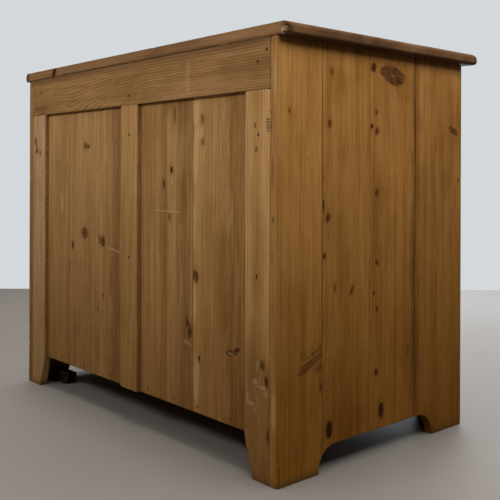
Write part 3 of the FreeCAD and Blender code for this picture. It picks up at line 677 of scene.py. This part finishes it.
TIMBERS = {
    "top_rear_board": Timber(
        "x", "z", "y", **TOP, pith=(790, 260), lean=(0.01, 0.02), ring=3.6, seed=1,
        knots=(Knot(360, 837, 18, 8.5, 128, "black"),),
        scratches=(Scratch(-352, 828, -330, 827, 1.8, "pale", 0.8),),
        patches=(
            Patch(-515, 305, 834, 10, 8, 8.5, "raw", 0.85),
            Patch(-517, 300, 833, 2.2, 3, 3, "dark", 0.9),
            Patch(-519, 296, 838, 2, 2.6, 2.2, "dark", 0.9),
        ),
    ),
    "top_middle_board": Timber(
        "x", "y", "z", **TOP, pith=(0, 760), lean=(0.02, 0.03), ring=4.2, seed=2,
        knots=(Knot(180, -20, 15, 11, 10), Knot(-260, 60, 9, 7, 0, "plum")),
    ),
    "top_front_board": Timber(
        "x", "y", "z", **TOP, pith=(-260, 740), lean=(-0.02, 0), ring=3.8, seed=3,
        knots=(Knot(-80, -190, 12, 9, -15), Knot(330, -150, 8, 6)),
    ),
    "left_side_rear_board": Timber(
        **SIDE, pith=(420, -420), ring=4.6, contrast=0.8, seed=4, tint=(1.02, 0.965, 0.87),
        knots=(
            Knot(689, 278, 6, 2.6, 12, "brown", 0.8),
            Knot(226, 208, 48, 11, -58, "brown", 0.6),
            Knot(205, 198, 12, 6, -50, "brown", 0.7),
            Knot(168, 192, 7, 3, 0, "dark_red", 0.9),
        ),
        scratches=(
            Scratch(216, 246, 236, 194, 1.5),
            Scratch(206, 236, 224, 194, 1.2, "dark"),
            Scratch(228, 250, 252, 196, 1.2, "dark"),
            Scratch(608, 233, 616, 222, 2, "pale", 0.5),
            Scratch(38, 300.5, 0, 300.5, 1.4, "dark", 0.9),
        ),
        patches=(
            Patch(-500, 204, 205, 4, 16, 34, "red", 0.45),
            Patch(-500, 194, 172, 4, 5, 20, "dark", 0.5),
            Patch(-489, 307, 425, 13, 3, 520, "edge", 0.55),
            Patch(-482, 307, 663, 3, 2, 13, "slate", 0.6),
            Patch(-482, 307, 686, 2.4, 2, 3, "black", 0.9),
            Patch(-486, 307, 575, 5, 2, 32, "dark", 0.55),
            Patch(-487, 307, 490, 4, 2, 7, "dark", 0.9),
            Patch(-485, 307, 420, 6, 2, 14, "red", 0.6),
            Patch(-486, 307, 330, 3, 2, 9, "dark", 0.5),
            Patch(-492, 307, 740, 5, 2, 60, "cream", 0.55),
            Patch(-494, 307, 240, 4, 2, 80, "dark", 0.35),
            Patch(-490, 307, 140, 6, 2, 40, "cream", 0.35),
        ),
    ),
    "left_side_second_board": Timber(
        **SIDE, pith=(185, -455), lean=(0.03, -0.05), ring=4.2, seed=5, tint=(0.95, 0.9, 0.78),
        knots=(
            Knot(771, 164, 9, 5, 0, "amber"),
            Knot(671, 170, 8, 5),
            Knot(489, 174, 9, 6.5, -14),
            Knot(512, 186.5, 13, 2.4, 0, "black"),
            Knot(416, 184, 6, 5),
            Knot(352, 154, 10, 3, 0, "brown", 0.6),
            Knot(343, 104, 11, 4.2, -34, "brown", 0.8),
            Knot(80, 169, 16, 9, 0, "black"),
        ),
        swells=(Swell(548, 184, 44, 9, 16),),
        bands=(Band(188.5, 192, 0.8, "dark", 0.6), Band(47.5, 49.5, 0.8, "dark", 0.35)),
    ),
    "left_side_third_board": Timber(
        **SIDE, pith=(-160, -540), ring=5, contrast=0.9, seed=6, tint=(1, 0.93, 0.8),
        knots=(
            Knot(779, -23, 35, 19, 80, "plum", 1.1),
            Knot(770, -43, 11, 8, 70, "black", 0.8),
            Knot(786, -8, 7, 12, 60, "brown", 0.6),
            Knot(791, 39, 10, 8, 0, "black"),
            Knot(700, 30, 6, 4),
            Knot(671, 44, 5, 4, 0, "black"),
            Knot(662, 28, 8, 6, -20),
            Knot(535, 28, 9, 6.5, -10),
            Knot(392, 27, 6, 5),
            Knot(331, 36, 5, 4),
            Knot(297, 27, 5, 4.4),
            Knot(168, 28, 7, 5),
            Knot(88, 13, 15, 8, 0, "plum"),
            Knot(200, -77, 14, 5, 0, "amber", 0.5),
        ),
        scratches=(
            Scratch(781, -19, 777, -26, 1.6, "pale", 0.8),
            Scratch(790, -60, 766, -66, 1.3, "dark", 0.7),
            Scratch(796, -66, 760, -73, 1.1, "dark", 0.5),
            Scratch(804, 22, 800, -30, 1.2, "dark", 0.35),
        ),
        bands=(
            Band(-112, -88, 8, "dark", 0.42),
            Band(-102, -98.2, 0.8, "black", 0.8),
            Band(44, 47, 1, "cream", 0.35),
        ),
        patches=(
            Patch(-500, -30, 720, 6, 70, 130, "dark", 0.24),
            Patch(-500, -94, 300, 6, 9, 200, "dark", 0.62),
        ),
    ),
    "left_side_front_board": Timber(
        **SIDE, pith=(-420, -480), ring=4.4, contrast=0.7, seed=7, tint=(0.92, 0.86, 0.76),
        knots=(Knot(673, -242, 17, 7, 66), Knot(560, -262, 5, 3, 0, "amber")),
        bands=(
            Band(-177, -172, 1.5, "dark", 0.25),
            Band(-118, -98, 8, "dark", 0.4),
            Band(-101.8, -98, 0.8, "black", 0.8),
        ),
        patches=(
            Patch(-500, -104, 200, 6, 6, 120, "dark", 0.6),
            # The black patch on the arch's inner face is a painted shadow
            Patch(-486, -178, 25, 12, 12, 45, "black"),
        ),
    ),
    "right_side_rear_board": Timber(
        **SIDE, pith=(330, 420), ring=4.6, contrast=0.8, seed=21, tint=(1.02, 0.965, 0.87),
        knots=(
            Knot(610, 232, 9, 6, 10),
            Knot(330, 262, 7, 5, 0, "amber"),
            Knot(120, 215, 8, 5, -20, "plum", 0.8),
        ),
        patches=(Patch(489, 307, 425, 14, 3, 900, "grey", 0.35),),
    ),
    "back_top_rail": Timber(
        "x", "z", "y", pith=(700, 240), lean=(0.03, -0.14), ring=5.8, contrast=1.8, rough=1.6, seed=8,
        face="back", tint=(0.81, 0.78, 0.79),
        patches=(Patch(425, 307, 740, 54, 6, 20, "dark", 0.5),),
        swells=(Swell(405, 738, 80, 34, 58), Swell(-120, 716, 190, 30, 26)),
        nails=((432, 789), (458, 750), (-2, 751), (-469, 803), (-444, 783)),
        scratches=(Scratch(-227, 810, -227, 742, 6, "pale", 0.26),),
    ),
    "back_left_stile": Timber(
        **BACK, pith=(-330, 380), ring=5.2, contrast=1.7, seed=9, tint=(1.24, 1.24, 1.2),
        knots=(
            Knot(664, -438, 5, 2.2, 0, "amber", 0.8),
            Knot(646, -446, 3.4, 2.4, 0, "black"),
            Knot(619, -441, 5, 3.6, 0, "grey", 0.7),
            Knot(381, -443, 5, 2.6, 0, "black"),
            Knot(218, -460, 9, 6.5, 0, "black", 0.75),
            Knot(190, -471, 11, 5, 0, "dark_red", 0.9),
            Knot(91, -475, 14, 4, 0, "plum", 0.7),
        ),
        nails=((-442, 96),),
        scratches=(Scratch(186, -440, 150, -441, 2, "pale", 0.45),),
        patches=(
            Patch(-474, 307, 663, 6, 4, 16, "slate", 0.45),
            *(Patch(-474, 307, z, 6.5, 4, 1.8, "slate", 0.9)
              for z in (652, 657.5, 663, 668.5, 674)),
            Patch(-440, 307, 185, 9, 4, 5, "raw", 0.62),
            Patch(-462, 307, 177, 9, 4, 4.5, "raw", 0.62),
            Patch(-471, 307, 166, 5, 4, 8, "raw", 0.5),
            Patch(-449, 307, 178, 5, 4, 3, "raw", 0.62),
            Patch(-428, 307, 142, 12, 4, 5, "raw", 0.62),
            Patch(-418, 307, 152, 4, 4, 9, "raw", 0.5),
            Patch(-438, 307, 132, 5, 4, 3.5, "raw", 0.55),
            Patch(-446, 307, 215, 4, 4, 14, "raw", 0.35),
            Patch(-445, 307, 60, 90, 9, 240, "dark", 0.46),
        ),
    ),
    "back_right_stile": Timber(
        **BACK, pith=(560, 350), ring=3.4, seed=10, tint=(1.28, 1.42, 1.86),
        knots=(Knot(658, 462, 16, 7, 20, "grey", 0.7), Knot(635, 456, 9, 5, -20), Knot(628, 437, 6, 4)),
        # The reddish stripe on the stile's inner edge face, beside the recessed panel, is painted shade
        patches=(Patch(408, 301, 420, 1.5, 5.5, 900, "red", 0.9),),
    ),
    "back_muntin": Timber(
        **BACK, pith=(-240, 300), ring=3.6, contrast=1.1, rough=1.5, seed=11, tint=(1.04, 1.03, 1),
        nails=((662, -5), (382, -5)),
        scratches=(Scratch(291, -14, 289, -22, 1.8, "pale", 0.8),),
        # The reddish stripe on the muntin's edge face, beside the recessed panel, is painted shade
        patches=(Patch(-39, 301, 420, 1.5, 5.5, 900, "red", 0.75),),
    ),
    "back_right_panel_inner_board": Timber(
        **BACK, pith=(-420, 260), ring=3.8, contrast=0.85, rough=1.35, seed=12,
        knots=(
            Knot(424, 213, 13, 14, 0, "brown", 0.85),
            Knot(409, 125, 13, 8.5, 0, "dark_red", 0.85),
            Knot(412, 140, 10, 5, 10, "grey", 0.8),
            Knot(390, 274, 11, 5),
            Knot(643, 211, 8, 8, 0, "grey"),
            Knot(640, 197, 4, 7, 10),
            Knot(279, 123, 5, 3, 0, "grey"),
            Knot(242, 149, 6, 3, 0, "grey", 0.7),
            Knot(340, 290, 9, 4, 0, "amber", 0.6),
        ),
        scratches=(Scratch(396, 100, 388, 50, 2.2, "pale", 0.8), Scratch(590, 132, 578, 129, 2.4)),
        bands=(Band(40, 84, 7, "red", 0.7),),
    ),
    "back_right_panel_outer_board": Timber(
        **BACK, pith=(640, 320), ring=5.6, rough=1.35, seed=13, tint=(0.97, 0.96, 0.94),
        scratches=(Scratch(520, 335, 478, 331, 9, "pale", 0.35),),
    ),
    "back_left_panel_inner_board": Timber(
        **BACK, pith=(-340, 250), ring=4.4, contrast=1.15, rough=1.55, seed=14, tint=(0.98, 0.96, 0.92),
        knots=(
            Knot(582, -157, 7, 5, 0, "black"),
            Knot(551, -128, 11, 5, 0, "grey"),
            Knot(700, -168, 22, 4, 0, "grey", 0.7),
            Knot(246, -224, 16, 7, 8, "black", 0.75),
            Knot(262, -214, 9, 5, 0, "brown", 0.8),
            Knot(480, -150, 9, 3.4, 0, "brown", 0.7),
        ),
        scratches=(
            Scratch(493, -94, 492, -190, 2, "pale", 0.55),
            Scratch(297, -60, 295, -86, 1.8, "pale", 0.5),
            Scratch(566, -158, 548, -160, 4),
            Scratch(222, -203, 218, -226, 5, "pale", 0.5),
            Scratch(640, -134, 300, -135, 1.5, "dark", 0.65),
            Scratch(640, -176, 380, -178, 1.3, "dark"),
            Scratch(560, -190, 260, -191, 1.2, "pale", 0.4),
            Scratch(350, -209, 235, -210, 1.5, "dark", 0.65),
            Scratch(300, -183, 130, -184, 1.1, "pale", 0.4),
            Scratch(690, -212, 520, -213, 1.2, "pale", 0.35),
        ),
        bands=(Band(-227, -190, 5, "dark", 0.34),),
    ),
    "back_left_panel_outer_board": Timber(
        **BACK, pith=(-640, 240), ring=4.6, contrast=1.05, rough=1.4, seed=15, tint=(1.02, 0.99, 0.92),
        knots=(
            Knot(687, -265, 10, 7, 0, "amber", 0.6),
            Knot(640, -265, 8, 6, 0, "amber", 0.6),
            Knot(360, -242, 12, 9),
            Knot(222, -360, 6.5, 17, 10, "black", 0.75),
            Knot(230, -376, 5, 8, 20, "dark_red", 0.9),
            Knot(193, -256, 6, 3.2, 0, "black"),
        ),
        scratches=(Scratch(222, -348, 220, -366, 3), Scratch(85, -318, 82, -330, 3, "pale", 0.9)),
        bands=(
            Band(-256, -230, 11, "cream", 0.4),
            Band(-420, -345, 18, "red", 0.62),
            Band(-235.4, -232.8, 0.6, "dark", 0.62),
        ),
        patches=(
            Patch(-242, 297, 705, 15, 6, 40, "cream", 0.85),
            Patch(-252, 297, 655, 16, 6, 20, "cream", 0.7),
            Patch(-241, 297, 610, 10, 6, 60, "cream"),
            Patch(-238, 297, 470, 8, 6, 70, "cream", 0.55),
            Patch(-240, 297, 300, 8, 6, 60, "cream", 0.5),
            Patch(-246, 297, 150, 12, 6, 60, "cream", 0.45),
        ),
    ),
}


def unseen_timber(node, box):
    """A plain board for a node that the photograph doesn't show: long side along the grain."""
    spans = [high - low for low, high in zip(*box)]
    order = sorted(range(3), key=lambda i: -spans[i])
    grain, across, depth = ("xyz"[i] for i in order)
    middle = [(low + high) / 2 / MM for low, high in zip(*box)]
    chance = random.Random(node)
    wide = spans[order[1]] / MM
    knots = []
    for _ in range(chance.choice((1, 2, 2, 3)) if wide > 60 else chance.choice((0, 1, 1))):
        along = middle[order[0]] + chance.uniform(-0.44, 0.44) * spans[order[0]] / MM
        over = middle[order[1]] + chance.uniform(-0.4, 0.4) * wide
        grown = min(chance.uniform(0.03, 0.08) * wide + 1.5, 9.0)
        tone = chance.choice(("brown", "amber", "amber", "plum"))
        tilt = chance.uniform(-35, 35)
        knots.append(Knot(along, over, grown * 1.5, grown, tilt, tone, chance.uniform(0.6, 1.0)))
    inside = slot_of(node) == "pine_inside"
    # Toe blocks get a near-black tint: a dark stain, and painted shade for the shadow under the
    # cupboard
    stained = "toe" in node
    return Timber(
        grain, across, depth,
        pith=(middle[order[1]] + chance.uniform(-1.6, 1.6) * wide, middle[order[2]] - 80.0),
        lean=(chance.uniform(-0.03, 0.03), chance.uniform(-0.04, 0.04)),
        ring=chance.uniform(4.4, 6.4),
        contrast=chance.uniform(0.8, 1.3),
        seed=chance.uniform(30.0, 90.0),
        tint=(0.045, 0.05, 0.075) if stained else WHITE,
        face="bare" if inside else "old",
        knots=tuple(knots),
    )


METAL_WORDS = ("hinge_leaves", "hinge_screws", "hinge_pins", "lock_", "escutcheon", "strike", "bolt_")
INSIDE_WORDS = ("bottom_rear", "bottom_front_board", "bearers", "shelf", "blocks", "stop")
IRON_NODES = ("back_nails", "lock_key")


def metal(name, base, dirt, roughness, metallic, slots=()):
    """Aged metal: tarnish in patches, scratches and, on screws, a dark slot across each head."""
    material, tree, principled = shader(name)
    place = places(tree)
    x, y, z = place["x"], place["y"], place["z"]
    patch = cloud(x / 9.0, y / 9.0, z / 9.0, 4.0, 0.6)
    speck = cloud(x / 1.1, y / 1.1, z / 1.1, 3.0, 0.6)
    scored = cloud(x / 6.0, y / 6.0, z / 0.5, 2.0)
    worn_off = ease(patch + speck * 0.5, -0.12, 0.3)
    colour = mingle(worn_off, base + (1.0,), dirt + (1.0,))
    height = patch * 0.08 + speck * 0.05 + scored * 0.03
    for middle_y, middle_z, turn in slots:
        dy, dz = y - middle_y, z - middle_z
        beside = size_of(dy * math.cos(turn) + dz * math.sin(turn))
        groove = ease(beside, SLOT_HALF_WIDTH, 0.5)
        groove = groove * ease(root(dy * dy + dz * dz), SLOT_REACH, 3.9)
        colour = mingle(groove * 0.92, colour, SLOT_DIRT)
        height = height - groove * 0.8
    plug(tree, colour, principled.inputs["Base Color"])
    principled.inputs["Metallic"].default_value = metallic
    plug(tree, worn_off * 0.25 + scored * 0.12 + roughness, principled.inputs["Roughness"])
    relief(tree, height, principled)
    return material


AGED_BRASS = ((0.62, 0.43, 0.16), (0.26, 0.165, 0.062), 0.3, 1.0)


def welded(node):
    """The CAD node's mesh, with one vertex to a corner."""
    mesh = bmesh.new()
    mesh.from_mesh(frame["nodes"][node].data)
    bmesh.ops.remove_doubles(mesh, verts=mesh.verts, dist=WELD_REACH)
    return mesh


def screw_brass(node):
    """Brass with a slot where each of the node's screws has its middle."""
    mesh = welded(node)
    waiting = set(mesh.verts)
    middles = set()
    while waiting:
        found = [waiting.pop()]
        for vertex in found:
            for edge in vertex.link_edges:
                other = edge.other_vert(vertex)
                if other in waiting:
                    waiting.remove(other)
                    found.append(other)
        reach = [[v.co[axis] for v in found] for axis in (1, 2)]
        middles.add(tuple(round((min(r) + max(r)) / 2 / MM, 1) for r in reach))
    mesh.free()
    slots = [(y, z, 0.7 + 1.9 * i) for i, (y, z) in enumerate(sorted(middles))]
    return metal("aged_brass_" + node, *AGED_BRASS, slots)


BRASS = metal("aged_brass", *AGED_BRASS)
IRON = metal("dark_iron", (0.05, 0.04, 0.034), (0.04, 0.02, 0.012), 0.6, 0.55)
RUST = metal("rusty_iron", (0.044, 0.022, 0.011), (0.028, 0.012, 0.006), 0.8, 0.0)


def slot_of(node):
    """The finish for a node, told by words in its name."""
    if node in IRON_NODES:
        return "iron"
    if any(word in node for word in METAL_WORDS):
        return "brass"
    if node.startswith("top_"):
        return "pine_top"
    if "_side_" in node:
        return "pine_side"
    if node.startswith("back_"):
        return "pine_back"
    if any(word in node for word in INSIDE_WORDS):
        return "pine_inside"
    return "knob_pine" if node.endswith("_knob") else "pine_front"


def material_for(node):
    if node in IRON_NODES:
        return RUST if "nails" in node else IRON
    if node.endswith("_screws"):
        return screw_brass(node)
    if slot_of(node) == "brass":
        return BRASS
    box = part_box(node)
    timber = TIMBERS[node] if node in TIMBERS else unseen_timber(node, box)
    return pine("pine_" + node, timber, box)


def finish_nodes():
    """Gives each CAD node its own board or metal, and its edges a slight round."""
    for node, piece in frame["nodes"].items():
        material = material_for(node)
        piece.data.materials.clear()
        piece.data.materials.append(material)
        weld = piece.modifiers.new("weld", "WELD")
        weld.merge_threshold = WELD_REACH
        bevel = piece.modifiers.new("arris", "BEVEL")
        bevel.width = METAL_ARRIS if slot_of(node) in ("brass", "iron") else ARRIS
        bevel.segments = 2
        bevel.limit_method = "ANGLE"
        bevel.angle_limit = SHARP_ANGLE
        bevel.harden_normals = True
        piece.data.shade_smooth()


# Wear that goes into the boards' shapes

STEP = 12.0
CUT_REACH = 1e-7
EDGE_CUTS = (2.5, 7.0)
FLAT_WEIGHT = 60
DENT_CUTS = (-0.55, -0.2, 0.15, 0.5)
DENT_SPACING = 105.0
# Lengths of the slow and the quick unevenness, and how deep they go
SLOW, QUICK = 31.0, 7.0
UNEVEN_MEAN, SLOW_DEPTH, QUICK_DEPTH = 0.1, 0.1, 0.05
AXES = {"x": Vector((1, 0, 0)), "y": Vector((0, 1, 0)), "z": Vector((0, 0, 1))}


@dataclass
class Dent:
    """A knock in an arris or corner. Reach and depth are in millimetres, place in metres."""

    place: Vector
    reach: float
    depth: float


def grain_axes(box):
    """The board's axes from its longest side to its shortest."""
    return sorted("xyz", key=lambda axis: -(AXES[axis].dot(box[1] - box[0])))


def random_dents(box, chance):
    """Knocks along the long arrises and at the corners."""
    low, high = box
    along, across, depth = (AXES[a] * AXES[a].dot(high - low) for a in grain_axes(box))
    dents = []
    for _ in range(max(3, round(max(high - low) / MM / DENT_SPACING))):
        place = low + along * chance.uniform(0.02, 0.98)
        place += across * chance.choice((0, 1))
        place += depth * chance.choice((0, 1))
        dents.append(Dent(place, chance.uniform(3.5, 9.0), chance.uniform(0.35, 1.3)))
    for end, side, face in itertools.product((0, 1), repeat=3):
        place = low + along * end + across * side + depth * face
        dents.append(Dent(place, chance.uniform(5.0, 10.0), chance.uniform(0.3, 1.5)))
    return dents


def cut(mesh, axis, position):
    """Adds a ring of vertices where a plane crosses the mesh. The position is in metres."""
    bmesh.ops.bisect_plane(
        mesh, geom=mesh.verts[:] + mesh.edges[:] + mesh.faces[:], dist=CUT_REACH,
        plane_co=AXES[axis] * position, plane_no=AXES[axis],
    )


def cut_planes(box, dents, chance):
    """Where to cut: at steps along the grain, beside each dent and near the arrises."""
    low, high = box
    along, across, depth = grain_axes(box)
    start, end = AXES[along].dot(low), AXES[along].dot(high)
    planes = []
    position = start + STEP * MM
    while position < end:
        planes.append((along, position + chance.uniform(-0.3, 0.3) * STEP * MM))
        position += STEP * MM
    for dent in dents:
        middle = AXES[along].dot(dent.place)
        planes += [(along, middle + share * dent.reach * MM) for share in DENT_CUTS]
    for axis in (across, depth):
        start, end = AXES[axis].dot(low), AXES[axis].dot(high)
        for inset in EDGE_CUTS:
            if end - start > 2.6 * inset * MM:
                planes += [(axis, start + inset * MM), (axis, end - inset * MM)]
    return planes


def wear_down(mesh, dents, seed):
    """Moves vertices into the wood, by a slow unevenness and by each dent."""
    mesh.normal_update()
    moves = []
    for vertex in mesh.verts:
        place = vertex.co / MM
        uneven = noise.noise(place / SLOW + Vector((seed, 0, 0)))
        chatter = noise.noise(place / QUICK + Vector((0, seed, 0)))
        inward = UNEVEN_MEAN + SLOW_DEPTH * uneven + QUICK_DEPTH * chatter
        for dent in dents:
            away = (vertex.co - dent.place).length / MM / dent.reach
            if away < 1.0:
                inward += dent.depth * (1.0 - away * away) ** 2
        moves.append(max(inward, 0.0))
    for vertex, inward in zip(mesh.verts, moves):
        vertex.co -= vertex.normal * inward * MM


# The top's left rear corner, where the overhang is split off, and the left rear foot's corner
BREAK_CORNER = Vector((-523, 307, 850))
BREAK_REACH = (24, 22, 24)
BREAK_STEP = 1.7
BREAK_DEPTH = 13.0
# Lengths across the grain, in y and in z, and share of each size of splinter
SPLINTERS = ((3.1, 2.3, 0.5), (1.3, 0.9, 0.45))
FOOT_CORNER = Vector((-500, 307, 0))
FOOT_CHAMFER = 4.0
FOOT_CHAMFER_HIGH = 36.0
FOOT_LUMP = 6.0
FOOT_CUTS = (6, 12, 18, 24, 30, 36, 42)


def break_planes():
    planes = []
    for axis, reach, sign in zip("xyz", BREAK_REACH, (1, -1, -1)):
        start = AXES[axis].dot(BREAK_CORNER)
        for i in range(1, int(reach / BREAK_STEP)):
            planes.append((axis, (start + sign * i * BREAK_STEP) * MM))
    return planes


def split_corner(mesh, seed):
    """Splinters the overhang's corner along the grain, deeper towards its underside."""
    for vertex in mesh.verts:
        place = vertex.co / MM
        inside = place - BREAK_CORNER
        below = min(max(-inside.z / BREAK_REACH[2], 0.0), 1.0)
        back = max(0.0, 1.0 + inside.y / (5.0 + 15.0 * below))
        if inside.x > BREAK_REACH[0] or back <= 0.0:
            continue
        rough = 0.95
        for long_y, long_z, share in SPLINTERS:
            rough += share * noise.noise(Vector((seed, place.y / long_y, place.z / long_z)))
        depth = (1.5 + BREAK_DEPTH * below ** 0.7) * back ** 0.6 * rough
        if inside.x < depth:
            vertex.co.x = (BREAK_CORNER.x + depth) * MM


def rub_foot(mesh):
    """The foot's outer corner is worn off where it meets the floor."""
    for vertex in mesh.verts:
        place = vertex.co / MM - FOOT_CORNER
        if place.z > FOOT_CHAMFER_HIGH:
            continue
        share = 1.0 - place.z / FOOT_CHAMFER_HIGH
        depth = FOOT_CHAMFER * share ** 0.5 * (1.0 + 0.3 * noise.noise(place / FOOT_LUMP))
        lacking = depth - (place.x - place.y)
        if lacking > 0.0:
            vertex.co += Vector((1, -1, 0)) * (lacking / 2.0 * MM)


def stand_in(node, name, mesh):
    """Makes the mesh an object that takes the CAD node's place, body, material and finish."""
    source = frame["nodes"][node]
    data = bpy.data.meshes.new(name)
    mesh.to_mesh(data)
    mesh.free()
    data.materials.append(source.data.materials[0])
    data.shade_smooth()
    piece = add_object(name, data)
    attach(piece, source["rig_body"])
    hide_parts(node)
    return piece


def worn_board(node):
    """A copy of a CAD board with rounded, knocked and uneven arrises. It never leaves the board."""
    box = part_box(node)
    chance = random.Random(node + " wear")
    seed = chance.uniform(0.0, 50.0)
    dents = random_dents(box, chance)
    mesh = welded(node)
    bmesh.ops.dissolve_limit(mesh, angle_limit=FLAT_ANGLE, verts=mesh.verts, edges=mesh.edges)
    sharp = [e for e in mesh.edges if len(e.link_faces) == 2 and e.calc_face_angle() > SHARP_ANGLE]
    bmesh.ops.bevel(
        mesh, geom=sharp, offset=ARRIS, offset_type="OFFSET", segments=2, profile=0.5,
        affect="EDGES", clamp_overlap=True,
    )
    planes = cut_planes(box, dents, chance)
    if node == "top_rear_board":
        planes += break_planes()
    if node == "left_side_rear_board":
        planes += [("z", height * MM) for height in FOOT_CUTS]
    for axis, position in planes:
        cut(mesh, axis, position)
    wear_down(mesh, dents, seed)
    if node == "top_rear_board":
        split_corner(mesh, seed)
    if node == "left_side_rear_board":
        rub_foot(mesh)
    piece = stand_in(node, "worn_" + node, mesh)
    piece.modifiers.new("flat_faces", "WEIGHTED_NORMAL").weight = FLAT_WEIGHT


# Depth from the tip and radius of a turned knob, in millimetres
KNOB_PROFILE = (
    (0, 0), (0.15, 3), (0.6, 6.4), (1.2, 8.8), (1.9, 10.6), (2.5, 11.3), (2.4, 11.9),
    (2.9, 13.1), (4.4, 15.4), (6.5, 17.2), (9, 17.95), (11.4, 17.3), (13.4, 15.6), (15, 13.1),
    (16.3, 10.3), (17.2, 8.5), (18, 7.6), (18.8, 7.1), (20.5, 6.5), (23.5, 6.2), (26.5, 6.4),
    (29, 7), (30.2, 7.45), (30.7, 7.6), (30.9, 8.6), (31.1, 10.4), (31.6, 11.2), (32.3, 11.5),
    (33.2, 11.45), (34, 11.1), (34, 5), (49.9, 5), (50, 0),
)
KNOB_SIDES = 72


def turned_knob(node):
    """A knob as it comes from the lathe: a ring round its face, a waist and a collar."""
    low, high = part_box(node)
    middle = (low + high) / 2
    rings = []
    mesh = bmesh.new()
    for depth, radius in KNOB_PROFILE:
        ring = []
        for i in range(KNOB_SIDES if radius else 1):
            turn = 2 * math.pi * i / KNOB_SIDES
            over = Vector((math.cos(turn), 0.0, math.sin(turn))) * radius * MM
            ring.append(mesh.verts.new(Vector((middle.x, low.y + depth * MM, middle.z)) + over))
        rings.append(ring)
    for near, far in zip(rings, rings[1:]):
        for i in range(KNOB_SIDES):
            j = (i + 1) % KNOB_SIDES
            corners = (near[i % len(near)], near[j % len(near)], far[j % len(far)], far[i % len(far)])
            mesh.faces.new(list(dict.fromkeys(corners)))
    bmesh.ops.recalc_face_normals(mesh, faces=mesh.faces)
    stand_in(node, "turned_" + node, mesh)


WORN_SLOTS = ("pine_top", "pine_side", "pine_back", "pine_front")

finish_nodes()
for cad_node in list(frame["nodes"]):
    if slot_of(cad_node) == "knob_pine":
        turned_knob(cad_node)
    elif slot_of(cad_node) in WORN_SLOTS:
        worn_board(cad_node)


# Floor, light and camera


def floor_sheet():
    """A plain pale floor, square to the camera's view."""
    near = Vector((CAMERA_PLACE.x, CAMERA_PLACE.y, 0.0))
    corners = [
        near + CAMERA_AHEAD * forward + CAMERA_LEVEL * over
        for forward, over in (
            (-FLOOR_BEHIND, -FLOOR_HALF_WIDTH),
            (FLOOR_AHEAD, -FLOOR_HALF_WIDTH),
            (FLOOR_AHEAD, FLOOR_HALF_WIDTH),
            (-FLOOR_BEHIND, FLOOR_HALF_WIDTH),
        )
    ]
    mesh = bpy.data.meshes.new("floor")
    mesh.from_pydata([tuple(c) for c in corners], [], [(0, 3, 2, 1)])
    floor = add_object("floor", mesh)
    material, _, principled = shader("pale_floor")
    principled.inputs["Base Color"].default_value = FLOOR_COLOUR
    principled.inputs["Roughness"].default_value = FLOOR_ROUGHNESS
    mesh.materials.append(material)
    floor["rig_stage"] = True


def soft_light(name, place, aim, size, power, colour):
    """A soft box: size is its width, level, and its height."""
    data = bpy.data.lights.new(name, "AREA")
    data.shape = "RECTANGLE"
    data.size, data.size_y = size
    data.energy = power
    data.color = colour
    light = add_object(name, data)
    light.location = place
    light.rotation_euler = (Vector(aim) - Vector(place)).to_track_quat("-Z", "Y").to_euler()
    light.visible_camera = False


def ceiling_light(strength, spread):
    """Even light from straight above, which falls on the floor and the top."""
    data = bpy.data.lights.new("ceiling", "SUN")
    data.energy = strength
    data.angle = math.radians(spread)
    add_object("ceiling", data)


def surroundings(seen, lighting):
    """An even pale room: one brightness where the camera sees it, and one that lights the object."""
    world = bpy.data.worlds.new("studio")
    world.use_nodes = True
    tree = world.node_tree
    background = tree.nodes["Background"]
    path = tree.nodes.new("ShaderNodeLightPath")
    camera_ray = Value(tree, path.outputs["Is Camera Ray"])
    plug(tree, mingle(camera_ray, lighting + (1.0,), seen + (1.0,)), background.inputs["Color"])
    bpy.context.scene.world = world


def photo_camera():
    upright = AXES["z"]
    right = CAMERA_LEVEL * math.cos(CAMERA_ROLL) + upright * math.sin(CAMERA_ROLL)
    above = upright * math.cos(CAMERA_ROLL) - CAMERA_LEVEL * math.sin(CAMERA_ROLL)
    data = bpy.data.cameras.new("photo_camera")
    data.lens = CAMERA_LENS
    data.sensor_width = CAMERA_SENSOR
    data.shift_y = CAMERA_SHIFT
    data.clip_start = CAMERA_NEAREST
    camera = add_object("photo_camera", data)
    turn = Matrix((right, above, -CAMERA_AHEAD)).transposed().to_4x4()
    camera.matrix_world = Matrix.Translation(CAMERA_PLACE) @ turn
    bpy.context.scene.camera = camera


LAMP = (1.0, 0.98, 0.95)

floor_sheet()
surroundings((0.66, 0.69, 0.71), (0.04, 0.0395, 0.039))
soft_light("over_side", (-1.35, 0.05, 1.75), (-0.5, 0.05, 0.65), (2.4, 0.7), 29.3, (1.0, 0.97, 0.92))
soft_light("over_back", (0.15, 2.15, 1.7), (0.0, 0.3, 0.55), (2.4, 0.55), 33.8, LAMP)
soft_light("over_front", (0.7, -2.1, 2.1), (0.1, -0.3, 0.45), (2.2, 1.0), 36.0, LAMP)
soft_light("low_front", (0.9, -2.4, 0.5), (-0.35, -0.25, 0.0), (1.4, 0.5), 13.0, (0.88, 0.94, 1.0))
soft_light("over_right", (2.0, -0.1, 1.9), (0.5, 0.0, 0.5), (2.4, 0.8), 22.0, LAMP)
ceiling_light(1.6, 22.0)
photo_camera()
bpy.context.scene.view_settings.view_transform = "Standard"

model_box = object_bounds()
